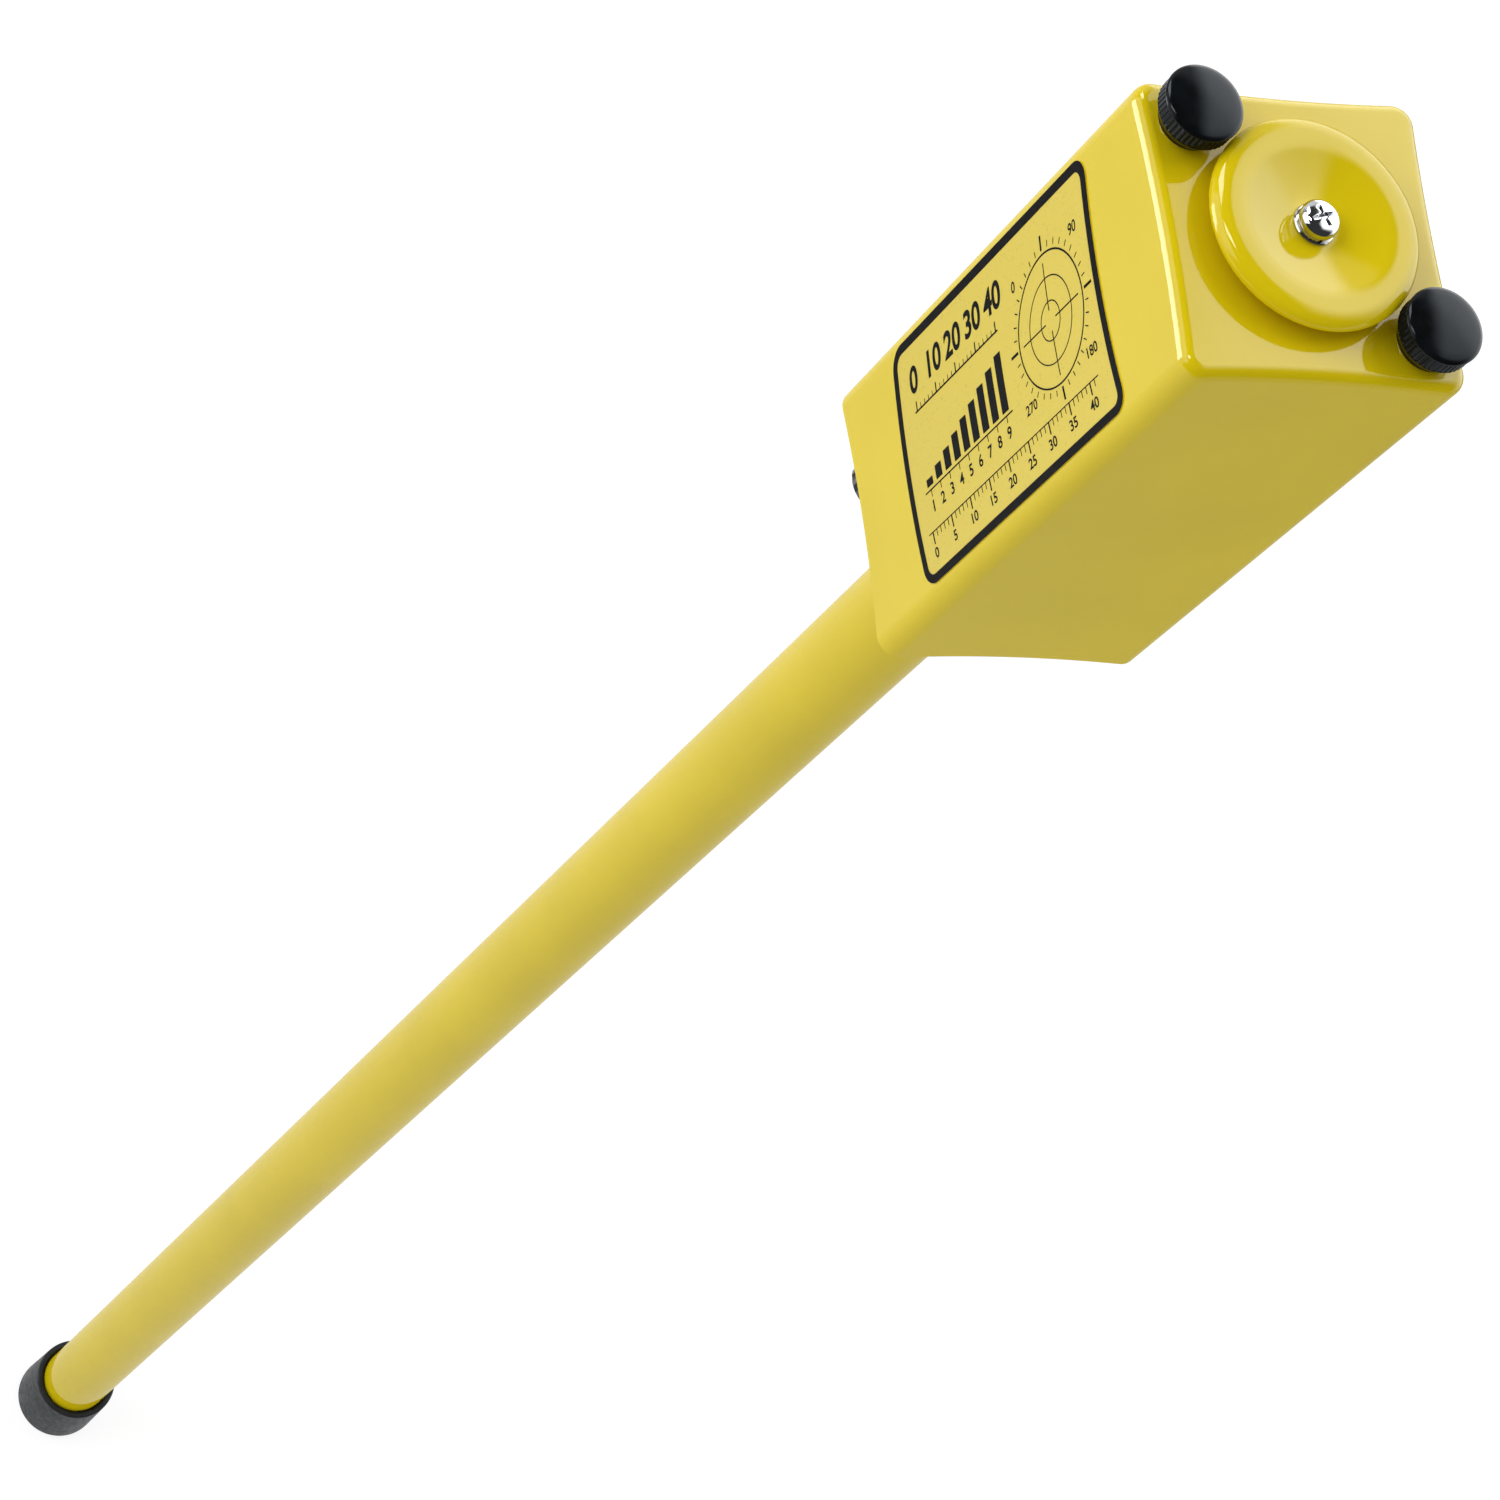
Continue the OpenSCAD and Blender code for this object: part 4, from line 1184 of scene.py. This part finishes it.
class LOCATOR_OT_stage(bpy.types.Operator):
    """Set up the pale floor, the soft lights and the camera"""

    bl_idname = "locator.stage"
    bl_label = "Stage"

    def seen(self, tree):
        """1 where the camera, a reflection or a clear piece looks, 0 where light is gathered."""
        rays = new_node(tree, "LightPath").outputs
        straight = combine(tree, "MAXIMUM", rays["Is Camera Ray"], rays["Is Glossy Ray"])
        return combine(tree, "MAXIMUM", straight, rays["Is Transmission Ray"])

    def glow(self, tree, kind, strength=None):
        """White light, as strong as an output says."""
        made = new_node(tree, kind, Color=(1, 1, 1, 1), Strength=1.0)
        if strength:
            tree.links.new(strength, made.inputs["Strength"])
        return made.outputs[0]

    def diffuse(self, tree, shade):
        """A plain surface of one colour."""
        return new_node(tree, "BsdfDiffuse", Color=(*shade, 1)).outputs[0]

    def turned(self, tree, axis, low, high, start=0.0, end=1.0):
        """Goes from start to end as the direction of sight turns towards the axis."""
        towards = measure(tree, "Generated", "DOT_PRODUCT", Vector(axis).normalized())
        return level(tree, towards, low, high, start, end, "SMOOTHSTEP")

    def floor_finish(self, context):
        """White with a faint shadow for the camera and for reflections, a plain pale floor for the light.

        The white rises with the distance from the wand's foot. For a reflection it also slopes across the
        floor. From below the floor is clear, so that the underside can be seen through it.
        """
        material = bpy.data.materials.new("studio_floor")
        material.use_nodes = True
        tree = material.node_tree
        tree.nodes.clear()
        distance = measure(tree, "Object", "LENGTH")
        far_out = level(tree, distance, low=0.6, high=2.6, start=0.84, end=1.0)
        across = measure(tree, "Object", "DOT_PRODUCT", (0.64, 0.77, 0.0))
        slope = level(tree, across, low=-0.8, high=0.8, start=1.40, end=0.55)
        gloss_ray = new_node(tree, "LightPath").outputs["Is Glossy Ray"]
        in_gloss = level(tree, gloss_ray, low=0.0, high=1.0, start=1.0, end=slope)
        strength = combine(tree, "MULTIPLY", far_out, in_gloss)
        shadowed = self.diffuse(tree, (0.26, 0.26, 0.26))
        white = both(tree, shadowed, self.glow(tree, "Emission", strength))
        plain = self.diffuse(tree, context.scene.locator_colours.floor)
        above = blend(tree, self.seen(tree), plain, white)
        clear = new_node(tree, "BsdfTransparent").outputs[0]
        from_below = new_node(tree, "NewGeometry").outputs["Backfacing"]
        surface = blend(tree, from_below, above, clear)
        tree.links.new(surface, new_node(tree, "OutputMaterial").inputs["Surface"])
        return material

    def surroundings(self, context):
        """White for the camera. Gloss meets a white room, its ceiling dark, with a bright panel behind."""
        world = bpy.data.worlds.new("studio_room")
        context.scene.world = world
        world.use_nodes = True
        tree = world.node_tree
        tree.nodes.clear()
        room = self.turned(tree, (0.45, -0.45, 0.77), low=0.0, high=0.18, start=1.0, end=0.05)
        behind = self.turned(tree, (0.319, 0.876, -0.362), low=-0.10, high=0.07, start=0.0, end=4.2)
        aside = self.turned(tree, (-0.966, 0.0, -0.26), low=-0.65, high=0.20)
        panel = combine(tree, "MULTIPLY", behind, aside)
        fill = self.turned(tree, (0.60, -0.20, 0.77), low=-0.4, high=0.9, start=0.80, end=0.36)
        gloss = both(tree, self.glow(tree, "Background", room), self.glow(tree, "Background", panel))
        light = blend(tree, self.seen(tree), self.glow(tree, "Background", fill), gloss)
        by_camera = new_node(tree, "LightPath").outputs["Is Camera Ray"]
        surface = blend(tree, by_camera, light, self.glow(tree, "Background"))
        tree.links.new(surface, new_node(tree, "OutputWorld").inputs["Surface"])

    def add_lamp(self, name, position, target, size, watts, lights=True, shines=True):
        """A soft rectangular light, unseen by the camera. It may only light, or only show in gloss."""
        data = bpy.data.lights.new(name, "AREA")
        data.shape = "RECTANGLE"
        data.size, data.size_y = size
        data.energy = watts
        lamp = bpy.data.objects.new(name, data)
        bpy.context.scene.collection.objects.link(lamp)
        lamp.location = position
        lamp.rotation_euler = (Vector(target) - Vector(position)).to_track_quat("-Z", "Y").to_euler()
        lamp.visible_camera = False
        lamp.visible_diffuse = lights
        lamp.visible_glossy = shines

    def add_camera(self, context):
        """The camera that was fitted to the photograph."""
        data = bpy.data.cameras.new("photo_camera")
        data.lens = 103.738
        data.sensor_width = 36
        data.clip_start = 0.05
        camera = bpy.data.objects.new("photo_camera", data)
        context.scene.collection.objects.link(camera)
        degrees = (22.86657, -22.61636, 81.94721)
        camera.location = (0.393816, -0.476565, 1.760227)
        camera.rotation_euler = [math.radians(angle) for angle in degrees]
        context.scene.camera = camera

    def execute(self, context):
        floor = add(bpy.ops.mesh.primitive_plane_add, size=14, location=(0, 0, -0.2 * MM))
        floor.name = "studio_floor"
        floor.data.materials.append(self.floor_finish(context))
        self.surroundings(context)

        middle = (0, 0, 0.95)
        end_face = (0, 0, 1.05)
        edge = (0, -0.03, 1.06)
        self.add_lamp("front_softbox", (-0.55, -1.75, 1.85), middle, (2.0, 2.0), 27)
        self.add_lamp("overhead_softbox", (-0.5, 1.1, 2.9), end_face, (1.2, 1.2), 9, shines=False)
        self.add_lamp("side_softbox", (1.5, 0.15, 0.6), middle, (1.2, 1.2), 4.5, shines=False)
        self.add_lamp("edge_strip", (-0.51, -1.08, 0.77), edge, (0.4, 1.0), 13, lights=False)
        self.add_lamp("rim_patch_left", (-1.04, -0.42, 2.07), edge, (0.46, 0.70), 11, lights=False)
        self.add_lamp("rim_patch_right", (-0.33, -0.60, 2.40), edge, (0.24, 0.42), 4, lights=False)
        self.add_camera(context)
        context.scene.view_settings.view_transform = "Standard"
        return {"FINISHED"}


class LOCATOR_PT_panel(bpy.types.Panel):
    """Lists the pieces in the sidebar"""

    bl_idname = "LOCATOR_PT_panel"
    bl_label = "Magnetic Locator"
    bl_space_type = "VIEW_3D"
    bl_region_type = "UI"
    bl_category = "Locator"

    def draw(self, context):
        layout = self.layout
        for group in (context.scene.locator_sizes, context.scene.locator_colours):
            column = layout.column(align=True)
            for key in group.bl_rna.properties.keys():
                if key not in ("rna_type", "name"):
                    column.prop(group, key)
        for operator in OPERATORS:
            layout.operator(operator.bl_idname)


OPERATORS = (
    LOCATOR_OT_inner_finishes,
    LOCATOR_OT_box_cover,
    LOCATOR_OT_label,
    LOCATOR_OT_sound_deflector,
    LOCATOR_OT_centre_screw,
    LOCATOR_OT_thumb_screws,
    LOCATOR_OT_wand,
    LOCATOR_OT_control_knobs,
    LOCATOR_OT_stage,
)
CLASSES = (LocatorSizes, LocatorColours, *OPERATORS, LOCATOR_PT_panel)


def register():
    """Adds the classes and the scene's settings."""
    for item in CLASSES:
        bpy.utils.register_class(item)
    bpy.types.Scene.locator_sizes = bpy.props.PointerProperty(type=LocatorSizes)
    bpy.types.Scene.locator_colours = bpy.props.PointerProperty(type=LocatorColours)


def unregister():
    """Takes the classes and the settings away again."""
    del bpy.types.Scene.locator_colours
    del bpy.types.Scene.locator_sizes
    for item in reversed(CLASSES):
        bpy.utils.unregister_class(item)


def main():
    """Builds every piece in order."""
    register()
    bpy.ops.locator.inner_finishes()
    bpy.ops.locator.box_cover()
    bpy.ops.locator.label()
    bpy.ops.locator.sound_deflector()
    bpy.ops.locator.centre_screw()
    bpy.ops.locator.thumb_screws()
    bpy.ops.locator.wand()
    bpy.ops.locator.control_knobs()
    bpy.ops.locator.stage()


if __name__ == "__main__":
    main()
